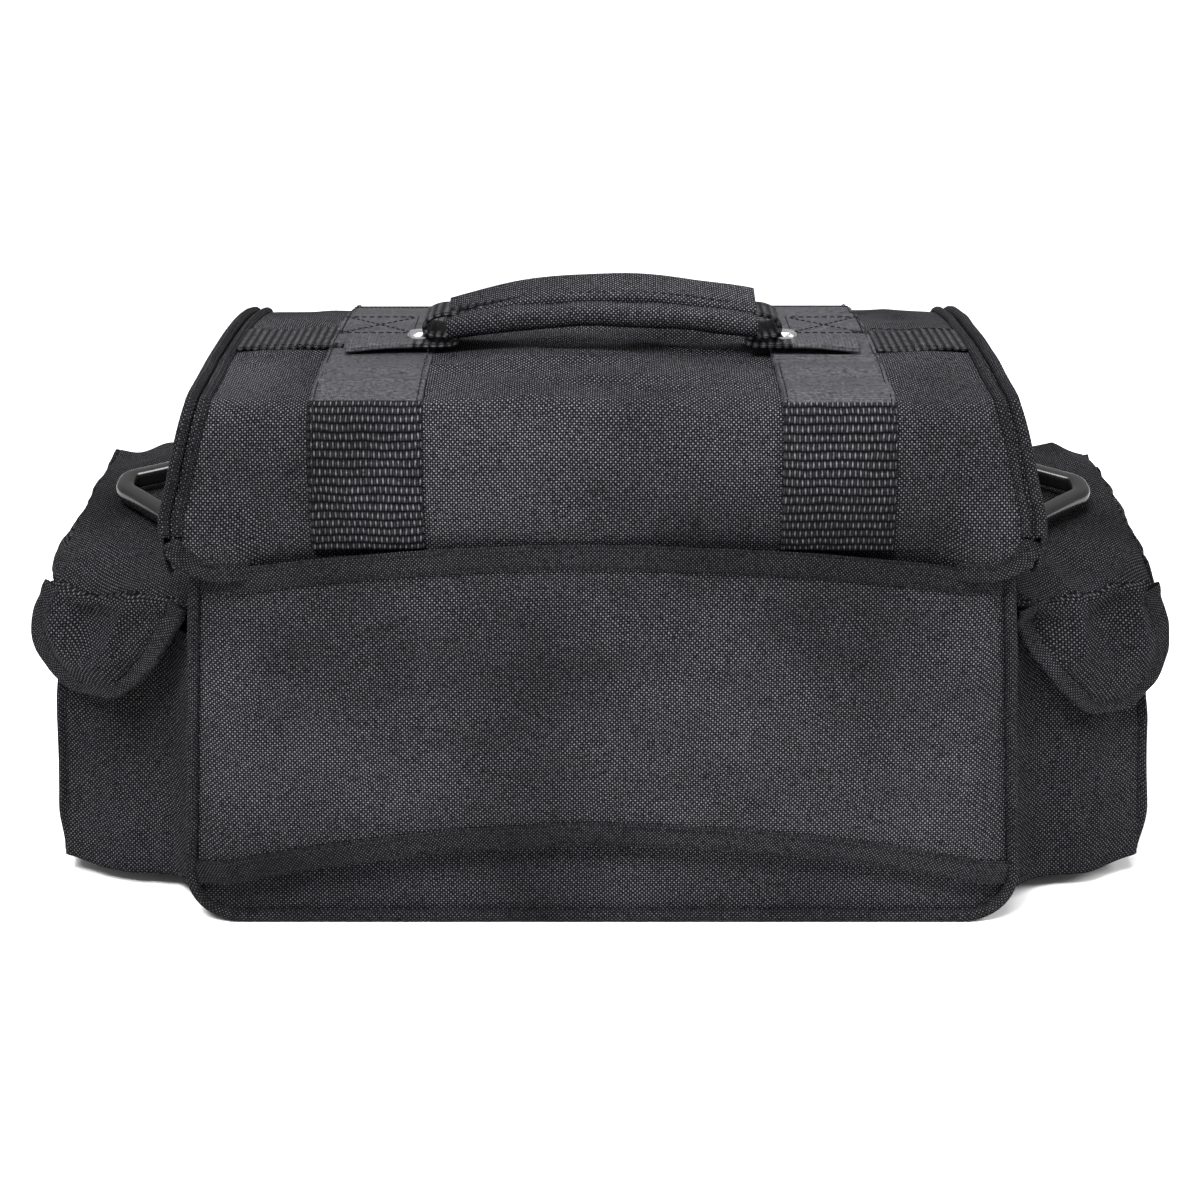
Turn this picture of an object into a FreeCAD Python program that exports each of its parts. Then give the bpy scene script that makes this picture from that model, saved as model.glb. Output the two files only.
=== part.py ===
"""Camera bag: tapered padded body, hooded lid, trolley sleeve, side pouches and carry handle.

Frame: millimetres, +Z up, origin on the floor under the middle of the base.
+Y points to the front of the bag, -Y to the back panel with the trolley sleeve.
"""
import FreeCAD, Part
import math
import os

import Sketcher
from FreeCAD import Placement, Rotation, Vector

os.makedirs("parts", exist_ok=True)
doc = FreeCAD.newDocument("CameraBag")
sheet = doc.addObject("Spreadsheet::Sheet", "Dims")

DRIVING = {
    "fabric": 1.6,              # woven cover cloth
    "webbing": 2.0,             # polyester webbing
    "foam": 8.0,                # padding in the walls
    "gap": 0.2,                 # air between neighbouring soft pieces
    "slip": 0.1,                # air between a lining and the cloth round it
    "free_gap": 0.3,            # air between pieces that move past each other
    "base_half": 200.0,         # half length of the body at the floor
    "top_half": 184.0,          # half length of the body at its top edge
    "depth_half": 111.0,        # half depth of the body, over the panels
    "wall_top": 196.0,          # height of the body's top edge
    "back_top": 190.0,          # height of the back panel, under the lid seam
    "corner_round": 25.0,       # radius of the body's lower corners
    "piping_round": 2.8,        # radius of the edge piping
    "piping_top": 172.0,        # where the piping runs under the lid
    "board": 2.5,               # stiffener in the base
    "divider_thick": 10.0,
    "divider_place": 60.0,
    "divider_top": 150.0,
    "sleeve_depth": 6.0,        # room for a trolley handle
    "sleeve_inset": 8.0,        # sleeve edge inside the body's edge
    "sleeve_low": 20.0,         # lower edge at the sides
    "sleeve_low_mid": 43.0,     # lower edge in the middle of its arch
    "sleeve_high": 170.0,
    "sleeve_high_mid": 186.0,
    "binding_wide": 12.0,
    "binding_thick": 1.2,
    "hinge_height": 192.0,      # fold between back panel and lid
    "skirt_round": 14.0,        # rounding of the lid end's lower corners
    "lid_back": 113.0,          # lid's outer face at the back
    "lid_front": 117.0,         # lid's outer face at the front, clear of the body
    "lid_corner": 251.0,        # height of the lid where top and wall planes meet
    "lid_crown": 257.0,
    "lid_round": 24.0,
    "lid_wide_top": 180.0,      # half length of the lid's top
    "lid_wide_mid": 191.5,      # half length where the hood is widest
    "lid_wide_low": 188.5,
    "lid_mid": 204.0,
    "lid_low": 178.0,
    "lid_foam": 6.0,
    "strap_wide": 50.0,
    "strap_place": 104.0,
    "cross_wide": 40.0,
    "cross_place": -9.0,
    "handle_place": -24.0,
    "handle_wide": 34.0,
    "handle_half": 72.0,
    "rivet_place": 86.0,
    "rivet_round": 6.0,
    "rivet_high": 3.2,
    "ring_place": 200.0,        # bar of the D-ring, from the middle of the bag
    "ring_height": 177.0,
    "ring_round": 4.5,
    "ring_half": 48.0,          # half length of the bar, corner to corner
    "ring_reach": 36.5,
    "ring_tilt": 6.0,
    "ring_play": 0.8,
    "tab_half": 25.0,
    "pouch_low": 8.0,
    "pouch_high": 138.0,
    "pouch_wall": 2.5,
    "pouch_out_low": 264.0,
    "pouch_out_high": 252.0,
    "pouch_deep_in": 96.0,      # half depth of the pouch where it meets the body
    "pouch_deep_out": 66.0,
    "flap_low": 160.0,
    "flap_thick": 3.0,
    "flap_in": 192.0,
    "flap_out": 259.0,
    "flap_deep_in": 101.0,
    "flap_deep_out": 72.0,
    "lobe_drop": 100.0,
    "lobe_drop_out": 112.0,
    "lobe_round": 24.0,
    "pocket_half": 70.0,
    "pocket_low": 22.0,
    "pocket_high": 148.0,
    "pocket_deep": 18.0,
    "pocket_round": 16.0,
    "buckle_wide": 60.0,
    "buckle_thick": 12.0,
    "socket_low": 60.0,
    "socket_high": 90.0,
    "plug_low": 96.0,
    "plug_shoulder": 118.0,
    "plug_high": 132.0,
    "tail_high": 180.0,
    "tail_place": 120.2,
}


class Size:
    """A length that knows both its sheet expression and its present value."""

    def __init__(self, text, value):
        self.text = text
        self.value = value

    def __add__(self, other):
        return Size(f"({self.text} + {text(other)})", self.value + value(other))

    def __sub__(self, other):
        return Size(f"({self.text} - {text(other)})", self.value - value(other))

    def __rsub__(self, other):
        return Size(f"({text(other)} - {self.text})", value(other) - self.value)

    def __mul__(self, other):
        return Size(f"({self.text} * {text(other)})", self.value * value(other))

    def __truediv__(self, other):
        return Size(f"({self.text} / {text(other)})", self.value / value(other))

    def __neg__(self):
        return Size(f"(-{self.text})", -self.value)

    __radd__ = __add__
    __rmul__ = __mul__


def text(size):
    return size.text if isinstance(size, Size) else f"{size:g}"


def value(size):
    return size.value if isinstance(size, Size) else float(size)


class Driving:
    """The driving dimensions by name, each as a Size."""


D = Driving()
for row, (name, number) in enumerate(DRIVING.items(), start=1):
    sheet.set(f"A{row}", name)
    sheet.set(f"B{row}", str(number))
    sheet.setAlias(f"B{row}", name)
    setattr(D, name, Size(f"Dims.{name}", number))
doc.recompute()

parts = {}
ZERO = Size("0", 0)
SIDES = {"left": -1, "right": 1}
X_AXIS = Vector(1, 0, 0)
Z_AXIS = Vector(0, 0, 1)


def keep(piece, name, placement=None):
    """Name a finished piece; its shape goes to parts/NAME.step."""
    piece.Label = name
    if placement is not None:
        piece.Placement = placement
    parts[name] = piece
    return piece


# ---------------------------------------------------------------- sketches and features

def origin_plane(body, role):
    return next(plane for plane in body.Origin.OriginFeatures if plane.Role == role)


def sketch_on(body, plane, offset):
    """A sketch on one of the body's origin planes, moved along the plane's normal."""
    sketch = body.newObject("Sketcher::SketchObject", f"{body.Name}_sketch")
    sketch.AttachmentSupport = [(origin_plane(body, f"{plane}_Plane"), "")]
    sketch.MapMode = "FlatFace"
    sketch.setExpression("AttachmentOffset.Base.z", text(offset))
    return sketch


def pin_point(sketch, geometry, end, point):
    """Bind one end of a piece of sketch geometry to a point's two sizes."""
    for kind, size in zip(("DistanceX", "DistanceY"), point):
        index = sketch.addConstraint(
            Sketcher.Constraint(kind, -1, 1, geometry, end, value(size)))
        sketch.setExpression(f"Constraints[{index}]", text(size))


def outline(sketch, points, closed=True):
    """Lines through the points. A point marked "via" bends its stretch into an arc."""
    corners = [point for point in points if point[0] != "via"]
    count = len(corners)
    vias = {}
    seen = -1
    for point in points:
        if point[0] == "via":
            vias[seen] = point[1:]
        else:
            seen += 1
    last_end = None
    first_start = None
    for index in range(count if closed else count - 1):
        start = corners[index]
        finish = corners[(index + 1) % count]
        a = Vector(value(start[0]), value(start[1]), 0)
        b = Vector(value(finish[0]), value(finish[1]), 0)
        head, tail = 1, 2
        if index in vias:
            via = vias[index]
            middle = Vector(value(via[0]), value(via[1]), 0)
            geometry = sketch.addGeometry(Part.Arc(a, middle, b))
            if sketch.getPoint(geometry, 1).distanceToPoint(a) > 1e-3:
                head, tail = 2, 1
            mark = sketch.addGeometry(Part.Point(middle), True)
            sketch.addConstraint(Sketcher.Constraint("PointOnObject", mark, 1, geometry))
            pin_point(sketch, mark, 1, via)
        else:
            geometry = sketch.addGeometry(Part.LineSegment(a, b))
        pin_point(sketch, geometry, head, start)
        if last_end is not None:
            sketch.addConstraint(Sketcher.Constraint("Coincident", *last_end, geometry, head))
        else:
            first_start = (geometry, head)
        last_end = (geometry, tail)
    if closed:
        sketch.addConstraint(Sketcher.Constraint("Coincident", *last_end, *first_start))
    else:
        pin_point(sketch, *last_end, corners[-1])
    return sketch


def circle(sketch, centre, radius):
    spot = Vector(value(centre[0]), value(centre[1]), 0)
    index = sketch.addGeometry(Part.Circle(spot, Z_AXIS, value(radius)))
    pin_point(sketch, index, 3, centre)
    bound = sketch.addConstraint(Sketcher.Constraint("Radius", index, value(radius)))
    sketch.setExpression(f"Constraints[{bound}]", text(radius))
    return sketch


def plane_span(plane, low, high):
    """Where the sketch sits so that a pad fills low to high on the plane's normal axis."""
    return -high if plane == "XZ" else low


def new_body(name):
    return doc.addObject("PartDesign::Body", name)


def padded(body, plane, points, low, high):
    """Pad an outline between two heights over one of the origin planes."""
    sketch = outline(sketch_on(body, plane, plane_span(plane, low, high)), points)
    pad = body.newObject("PartDesign::Pad", f"{body.Name}_pad")
    pad.Profile = sketch
    pad.setExpression("Length", text(high - low))
    doc.recompute()
    return pad


def pocketed(body, plane, points, low, high):
    """Cut an outline out of the body between two heights; a Pocket cuts against the normal."""
    top = -low if plane == "XZ" else high
    sketch = outline(sketch_on(body, plane, top), points)
    before = body.Shape.Volume
    pocket = body.newObject("PartDesign::Pocket", f"{body.Name}_pocket")
    pocket.Profile = sketch
    pocket.setExpression("Length", text(high - low))
    doc.recompute()
    if body.Shape.Volume > before - 1:
        raise ValueError(f"{body.Name}: the pocket cuts nothing")
    return pocket


PLANE_AXES = {"XY": (0, 1, 2), "XZ": (0, 2, 1), "YZ": (1, 2, 0)}


def rounded(body, plane, corners, radius):
    """Round the pad's edges that stand on the given outline corners."""
    first, second, along = PLANE_AXES[plane]
    base = body.Tip
    chosen = []
    for number, edge in enumerate(base.Shape.Edges, start=1):
        ends = [vertex.Point for vertex in edge.Vertexes]
        if len(ends) < 2 or abs(ends[0][along] - ends[1][along]) < 0.5:
            continue
        for corner in corners:
            spots = [math.hypot(end[first] - value(corner[0]), end[second] - value(corner[1]))
                     for end in ends]
            if max(spots) < 0.05:
                chosen.append(f"Edge{number}")
    if len(chosen) < len(corners):
        raise ValueError(f"{body.Name}: a corner to round was not found")
    fillet = body.newObject("PartDesign::Fillet", f"{body.Name}_fillet")
    fillet.Base = (base, chosen)
    fillet.setExpression("Radius", text(radius))
    doc.recompute()
    return fillet


def block(name, low, high):
    """A Part::Box between two corners, bound to the sheet."""
    box = doc.addObject("Part::Box", name)
    for prop, axis in (("Length", 0), ("Width", 1), ("Height", 2)):
        box.setExpression(prop, text(high[axis] - low[axis]))
    for letter, size in zip("xyz", low):
        box.setExpression(f"Placement.Base.{letter}", text(size))
    return box


def plate(name, plane, points, low, high, corners=(), radius=None):
    """A flat piece: an outline padded, with some corners rounded."""
    body = new_body(name)
    padded(body, plane, points, low, high)
    if corners:
        rounded(body, plane, corners, radius)
    return body


def mirrored_outline(points):
    """Close an outline that is given for +X only by its mirror image."""
    return list(points) + [(-x, z) for x, z in reversed(points)]


def ordered(side, inner, outer):
    """Low and high along X for a piece that lies between two distances from the middle."""
    return (inner, outer) if side > 0 else (-outer, -inner)


def combine(kind, name, first, second):
    result = doc.addObject(kind, name)
    result.Base = first
    result.Tool = second
    return result


def fused(name, pieces):
    result = doc.addObject("Part::MultiFuse", name)
    result.Shapes = pieces
    result.Refine = True
    return result


# ---------------------------------------------------------------- body of the bag

slope = (D.base_half - D.top_half) / D.wall_top


def body_edge(height):
    """Half length of the tapered body at a height."""
    return D.base_half - slope * height


def make_base():
    half = D.base_half - D.corner_round - 5
    deep = D.depth_half - D.fabric
    board_top = D.fabric + D.board
    keep(block("base_panel", (-half, -deep, 0), (half, deep, D.fabric)), "base_panel")
    keep(block("base_board", (-half, -(deep - 3), D.fabric), (half, deep - 3, board_top)),
         "base_board")
    wide = half + 12
    keep(block("base_foam", (-wide, -(deep - 3), board_top), (wide, deep - 3, board_top + D.foam)),
         "base_foam")
    return board_top + D.foam


def make_face_panel(name, low, high, top):
    """Back or front panel: a tapered plate with rounded lower corners."""
    foot = (D.base_half, 0)
    points = mirrored_outline([foot, (body_edge(top), top)])
    corners = [foot, (-D.base_half, 0)]
    keep(plate(name, "XZ", points, low, high, corners, D.corner_round), name)


def make_end_panel(name, side):
    """End panel: turns under the body through the rounded lower corner."""
    turn = D.base_half - D.corner_round - 5
    thick = D.fabric
    inner_foot = body_edge(thick) - thick
    outer = [(side * turn, 0), (side * D.base_half, 0), (side * D.top_half, D.wall_top)]
    inner = [(side * (D.top_half - thick), D.wall_top), (side * inner_foot, thick),
             (side * turn, thick)]
    deep = D.depth_half - D.fabric
    body = new_body(name)
    padded(body, "XZ", outer + inner, -deep, deep)
    rounded(body, "XZ", [outer[1]], D.corner_round)
    rounded(body, "XZ", [inner[1]], D.corner_round - thick)
    keep(body, name)


def make_face_foam(name, low, high, floor, top):
    margin = D.fabric + 4
    points = mirrored_outline([(body_edge(floor) - margin - 1, floor + D.gap),
                               (body_edge(top) - margin, top)])
    keep(plate(name, "XZ", points, low, high), name)


def make_end_foam(name, side, floor, top):
    skin = D.fabric + 0.4
    low = floor + D.gap
    points = [(side * (body_edge(low) - skin - 5), low),
              (side * (body_edge(D.corner_round) - skin), D.corner_round),
              (side * (body_edge(top) - skin), top),
              (side * (body_edge(top) - skin - D.foam), top),
              (side * (body_edge(low) - skin - D.foam - 5), low)]
    deep = D.depth_half - D.fabric - D.foam - D.gap * 2
    keep(plate(name, "XZ", points, -deep, deep), name)


def make_divider(name, side, floor):
    deep = D.depth_half - D.fabric - D.foam - D.gap * 3
    low, high = ordered(side, D.divider_place - D.divider_thick / 2,
                        D.divider_place + D.divider_thick / 2)
    points = [(-deep, floor + D.gap), (deep, floor + D.gap), (deep, D.divider_top),
              (-deep, D.divider_top)]
    keep(plate(name, "YZ", points, low, high, points[2:], 12), name)


def round_corner(before, corner, after, bend):
    """The tangent arc that rounds a corner: where it starts, its middle and its end."""
    into = (corner - before).normalize()
    away = (after - corner).normalize()
    turn = into.getAngle(away)
    reach = bend * math.tan(turn / 2)
    inward = (away - into).normalize()
    middle = corner + inward * (bend / math.cos(turn / 2) - bend)
    return corner - into * reach, middle, corner + away * reach


def rounded_route(points, bends):
    """Outline entries for a route whose inner corners are rounded by tangent arcs."""
    route = [(points[0].x, points[0].y)]
    for index, bend in enumerate(bends, start=1):
        start, middle, end = round_corner(points[index - 1], points[index], points[index + 1],
                                          bend)
        route += [(start.x, start.y), ("via", middle.x, middle.y), (end.x, end.y)]
    return route


def make_piping(name, place):
    """Edge piping: from the middle of the foot, round the corner and up, then mirrored."""
    inset = D.piping_round + D.slip
    body = new_body(name)
    profile = sketch_on(body, "YZ", 0)
    circle(profile, (place, inset), D.piping_round)
    spine = sketch_on(body, "XZ", -place)
    top = (body_edge(D.piping_top) - inset, D.piping_top)
    corner = Vector(value(body_edge(inset) - inset), value(inset), 0)
    points = [Vector(0, value(inset), 0), corner, Vector(value(top[0]), value(top[1]), 0)]
    outline(spine, rounded_route(points, [value(D.corner_round - inset)]) + [top], closed=False)
    pipe = body.newObject("PartDesign::AdditivePipe", f"{name}_pipe")
    pipe.Profile = profile
    pipe.Spine = spine
    doc.recompute()
    mirror = body.newObject("PartDesign::Mirrored", f"{name}_mirror")
    mirror.Originals = [pipe]
    mirror.MirrorPlane = (origin_plane(body, "YZ_Plane"), [""])
    body.Tip = mirror
    keep(body, name)


def arched(half_low, low, low_mid, half_high, high, high_mid):
    """An outline with straight sides and an arched lower and upper edge."""
    return [(-half_low, low), ("via", 0, low_mid), (half_low, low), (half_high, high),
            ("via", 0, high_mid), (-half_high, high)]


def make_sleeve():
    """Trolley sleeve: a shallow channel, open at the top and at the bottom."""
    def edge(height):
        return body_edge(height) - D.sleeve_inset

    face = -(D.depth_half + D.sleeve_depth)
    outer = arched(edge(D.sleeve_low), D.sleeve_low, D.sleeve_low_mid,
                   edge(D.sleeve_high), D.sleeve_high, D.sleeve_high_mid)
    body = new_body("back_sleeve")
    padded(body, "XZ", outer, face - D.fabric, -D.depth_half)
    room = mirrored_outline([(edge(0) - D.fabric, 0), (edge(200) - D.fabric, 200)])
    pocketed(body, "XZ", room, face, -D.depth_half)
    keep(body, "back_sleeve")
    skin = face - D.fabric
    band = D.binding_wide
    top = arched(edge(D.sleeve_high - band), D.sleeve_high - band, D.sleeve_high_mid - band,
                 edge(D.sleeve_high), D.sleeve_high, D.sleeve_high_mid)
    low = arched(edge(D.sleeve_low), D.sleeve_low, D.sleeve_low_mid,
                 edge(D.sleeve_low + band), D.sleeve_low + band, D.sleeve_low_mid + band)
    for name, points in (("sleeve_top_binding", top), ("sleeve_bottom_binding", low)):
        keep(plate(name, "XZ", points, skin - D.binding_thick, skin), name)


def make_body():
    floor = make_base()
    deep = D.depth_half
    foam_top = D.back_top - 14
    make_face_panel("back_panel", -deep, -(deep - D.fabric), D.back_top)
    make_face_panel("front_panel", deep - D.fabric, deep, D.wall_top)
    inner = deep - D.fabric
    make_face_foam("back_foam", -inner, -(inner - D.foam), floor, foam_top)
    make_face_foam("front_foam", inner - D.foam, inner, floor, foam_top)
    for word, side in SIDES.items():
        make_end_panel(f"end_panel_{word}", side)
        make_end_foam(f"end_foam_{word}", side, floor, foam_top)
        make_divider(f"divider_{word}", side, floor)
    make_piping("back_piping", -(deep + D.piping_round + D.gap))
    make_piping("front_piping", deep + D.piping_round + D.gap)
    make_sleeve()
    tape = D.top_half - 6
    keep(block("hinge_tape", (-tape, -inner, foam_top + 1),
               (tape, -(inner - 1.2), D.back_top)), "hinge_tape")


# ---------------------------------------------------------------- lid and handle

def hood_points(off_outer, off_inner, back_low, front_low):
    """Section of the hood across the bag, between two offsets of its outer line."""
    def line(off):
        return [(-(D.lid_back + off), D.lid_corner + off), ("via", 0, D.lid_crown + off),
                (D.lid_front + off, D.lid_corner + off)]

    outer = line(off_outer)
    inner = line(off_inner)
    return ([(outer[0][0], back_low)] + outer + [(outer[2][0], front_low)]
            + [(inner[2][0], front_low)] + inner[::-1] + [(inner[0][0], back_low)])


def hood_body(name, low, high, off_outer, off_inner, back_low, front_low):
    points = hood_points(off_outer, off_inner, back_low, front_low)
    body = new_body(name)
    padded(body, "YZ", points, low, high)
    outer = [points[1], points[3]]
    inner = [points[6], points[8]]
    rounded(body, "YZ", outer, D.lid_round + off_outer)
    rounded(body, "YZ", inner, D.lid_round + off_inner)
    return body


def end_profile(side, thick):
    """Section of one lid end: it flares to its widest line and hangs below it."""
    outer = [(D.lid_wide_low + thick, D.lid_low), (D.lid_wide_mid + thick, D.lid_mid),
             (D.lid_wide_top + thick, D.lid_corner + 1.5)]
    inner = [(D.lid_wide_top, D.lid_corner + 1.5), (D.lid_wide_mid, D.lid_mid),
             (D.lid_wide_low, D.lid_low)]
    return [(side * x, z) for x, z in outer + inner]


def make_lid_cover():
    wide = D.lid_wide_mid + 2
    hood = hood_body("lid_section", -wide, wide, ZERO, -D.fabric, D.hinge_height,
                     D.lid_low)
    trim = plate("lid_trim", "XZ", mirrored_outline(
        [(D.lid_wide_low - D.slip, D.lid_low - 1), (D.lid_wide_mid - D.slip, D.lid_mid),
         (D.lid_wide_top - D.slip, D.lid_corner), (D.lid_wide_top - D.slip, D.lid_crown + 9)]),
        -(D.lid_back + 5), D.lid_front + 5)
    keep(combine("Part::Common", "lid_cover", hood, trim), "lid_cover")
    skin = D.fabric + D.gap
    room = D.lid_wide_top - 3
    keep(hood_body("lid_foam", -room, room, -skin, -(skin + D.lid_foam), D.wall_top + 4,
                   D.wall_top + 4), "lid_foam")


def make_skirt(name, side):
    """Lid end: hangs free over the end of the body, with rounded lower corners."""
    profile = plate(f"{name}_profile", "XZ", end_profile(side, D.fabric), -(D.lid_back - 1),
                    D.lid_front)
    back = -(D.lid_back - D.fabric)
    front = D.lid_front - D.fabric
    low = D.lid_low
    head = D.lid_corner - D.fabric
    shape = [(back, low), (front, low), (front, head), (back, head)]
    span = ordered(side, D.lid_wide_top - 5, D.lid_wide_mid + 5)
    face = new_body(f"{name}_face")
    padded(face, "YZ", shape, *span)
    rounded(face, "YZ", shape[:2], D.skirt_round)
    rounded(face, "YZ", shape[2:], D.lid_round - D.fabric)
    keep(combine("Part::Common", name, profile, face), name)


def pipe_along(points, bends, radius):
    """A round tube along straight runs joined by tangent arcs."""
    edges = []
    start = points[0]
    for before, corner, after, bend in zip(points, points[1:], points[2:], bends):
        first, middle, last = round_corner(before, corner, after, bend)
        edges.append(Part.LineSegment(start, first).toShape())
        edges.append(Part.Arc(first, middle, last).toShape())
        start = last
    edges.append(Part.LineSegment(start, points[-1]).toShape())
    path = Part.Wire(edges)
    profile = Part.Wire(Part.makeCircle(radius, points[0], points[1] - points[0]))
    return path.makePipeShell([profile], True, False)


def make_lid_piping(name, side):
    """Piping in the seam between hood and lid end; its path turns in three directions."""
    radius = D.piping_round.value - D.free_gap.value
    low = D.lid_wide_low.value + radius
    mid = D.lid_wide_mid.value + radius
    top = D.lid_wide_top.value + radius
    back = -(D.lid_back.value + radius * 0.6)
    front = D.lid_front.value + radius * 0.6
    shoulder = D.lid_corner.value + radius * 0.6
    lid_mid = D.lid_mid.value
    route = [(mid - 1, back, D.hinge_height.value + 1), (mid, back, lid_mid),
             (top, back, shoulder), (top, front, shoulder), (mid, front, lid_mid),
             (low, front, D.lid_low.value)]
    points = [Vector(side * x, y, z) for x, y, z in route]
    tube = doc.addObject("Part::Feature", name)
    shoulder_bend = D.lid_round.value + radius
    tube.Shape = pipe_along(points, [5.0, shoulder_bend, shoulder_bend, 5.0], radius)
    keep(tube, name)


def make_lid_straps(word, side):
    half = D.strap_wide / 2
    low, high = ordered(side, D.strap_place - half, D.strap_place + half)
    name = f"lid_webbing_{word}"
    strap = hood_body(name, low, high, D.webbing + D.gap, D.gap, D.hinge_height + 4,
                      D.lid_low + 6)
    keep(strap, name)
    inner = D.strap_place + half + 1
    outer = D.lid_wide_top - 2
    cross_low, cross_high = ordered(side, inner, outer)
    level = D.lid_crown + D.gap
    wide = D.cross_wide / 2
    name = f"cross_webbing_{word}"
    keep(block(name, (cross_low, D.cross_place - wide, level),
               (cross_high, D.cross_place + wide, level + D.fabric)), name)


def make_handle_leg(name, side):
    """Webbing leg: lies on the lid strap under the rivet and curls up to the grip."""
    level = D.lid_crown + D.webbing + D.gap * 2
    thick = D.webbing
    end = D.handle_half + 3
    points = [(D.strap_place + 16, level), (end + 4, level), (end, level + 7),
              (end + thick, level + 7 + thick / 2), (end + 4 + thick / 2, level + thick),
              (D.strap_place + 16, level + thick)]
    half = D.handle_wide / 2
    outline_points = [(side * x, z) for x, z in points]
    keep(plate(name, "XZ", outline_points, D.handle_place - half, D.handle_place + half), name)


def make_rivets():
    """Two low domed caps, one over each leg."""
    level = D.lid_crown + D.webbing * 2 + D.gap * 2
    caps = []
    for word, side in SIDES.items():
        disc = doc.addObject("Part::Cylinder", f"rivet_{word}_disc")
        disc.setExpression("Radius", text(D.rivet_round))
        disc.setExpression("Height", text(D.rivet_high))
        disc.setExpression("Placement.Base.x", text(side * D.rivet_place))
        disc.setExpression("Placement.Base.y", text(D.handle_place))
        disc.setExpression("Placement.Base.z", text(level))
        doc.recompute()
        rims = [number for number, edge in enumerate(disc.Shape.Edges, start=1)
                if edge.BoundBox.ZMin > value(level) + 1]
        cap = doc.addObject("Part::Fillet", f"rivet_{word}")
        cap.Base = disc
        bend = D.rivet_high.value * 0.8
        cap.Edges = [(number, bend, bend) for number in rims]
        caps.append(cap)
    group = doc.addObject("Part::Compound", "handle_rivets")
    group.Links = caps
    keep(group, "handle_rivets")


def make_handle():
    """Padded grip with a webbing core in a slot through it."""
    base = D.lid_crown + D.webbing + D.gap
    low = base + 4
    body = new_body("handle_grip")
    wide = D.handle_wide / 2
    padded(body, "XZ", arched(D.handle_half, low, low + 5, D.handle_half, low + 13, low + 19),
           D.handle_place - wide, D.handle_place + wide)
    core = wide - 5
    half = D.handle_half
    slot = arched(half, low + 5, low + 10, half, low + 8, low + 13)
    pocketed(body, "XZ", slot, D.handle_place - core, D.handle_place + core)
    keep(body, "handle_grip")
    inner = core - D.slip
    end = half - 0.5
    strip = arched(end, low + 5.1, low + 10.1, end, low + 7.9, low + 12.9)
    keep(plate("handle_core", "XZ", strip, D.handle_place - inner, D.handle_place + inner),
         "handle_core")


def make_lid():
    make_lid_cover()
    for word, side in SIDES.items():
        make_skirt(f"lid_skirt_{word}", side)
        make_lid_piping(f"lid_piping_{word}", side)
        make_lid_straps(word, side)
        make_handle_leg(f"handle_leg_{word}", side)
    make_rivets()
    make_handle()


# ---------------------------------------------------------------- ends of the bag

def ring_placement(side):
    """The ring's bar dips towards the back of the bag by the tilt."""
    pivot = Vector(side * D.ring_place.value, 0, D.ring_height.value)
    return Placement(pivot, Rotation(X_AXIS, D.ring_tilt.value))


def make_ring(name, side):
    """Triangular D-ring, modelled with its bar on the local Y axis."""
    body = new_body(name)
    profile = sketch_on(body, "XZ", 0)
    circle(profile, (0, 0), D.ring_round)
    spine = sketch_on(body, "XY", 0)
    half = D.ring_half.value
    reach = side * D.ring_reach.value
    blunt = half * 0.2
    start = Vector(0, 0, 0)
    loop = [start, Vector(0, half, 0), Vector(reach, blunt, 0), Vector(reach, -blunt, 0),
            Vector(0, -half, 0), start]
    outline(spine, rounded_route(loop, [7.0, 9.0, 9.0, 7.0]))
    pipe = body.newObject("PartDesign::AdditivePipe", f"{name}_pipe")
    pipe.Profile = profile
    pipe.Spine = spine
    keep(body, name, ring_placement(side))


def make_tab(name, side):
    """Webbing loop on the end panel: it carries the ring's bar."""
    bore = D.ring_round + D.ring_play
    wall = bore + D.webbing
    long = D.tab_half * 2
    loop = doc.addObject("Part::Cylinder", f"{name}_loop")
    hole = doc.addObject("Part::Cylinder", f"{name}_hole")
    for piece, radius in ((loop, wall), (hole, bore)):
        piece.setExpression("Radius", text(radius))
        piece.setExpression("Height", text(long))
        piece.Placement = Placement(Vector(0, D.tab_half.value, 0), Rotation(X_AXIS, 90))
    reach = D.ring_place - body_edge(D.ring_height - 8) - D.free_gap
    low, high = ordered(side, -reach, ZERO)
    neck = block(f"{name}_neck", (low, -D.tab_half, -wall + 0.6), (high, D.tab_half, -bore + 1.6))
    solid = fused(f"{name}_solid", [loop, neck])
    tab = combine("Part::Cut", name, solid, hole)
    keep(tab, name, ring_placement(side))


def pouch_ring(level_edge, out, inset):
    """C-shaped plan of the pouch wall at one height, for the +X side."""
    wall = D.pouch_wall
    inner = level_edge + D.free_gap
    outer = [(inner, -(D.pouch_deep_in - inset)), (out, -(D.pouch_deep_out - inset)),
             (out, D.pouch_deep_out - inset), (inner, D.pouch_deep_in - inset)]
    shrink = wall * 1.12
    liner = [(inner, D.pouch_deep_in - inset - shrink),
             (out - wall, D.pouch_deep_out - inset - wall * 0.62),
             (out - wall, -(D.pouch_deep_out - inset - wall * 0.62)),
             (inner, -(D.pouch_deep_in - inset - shrink))]
    return outer + liner


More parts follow.
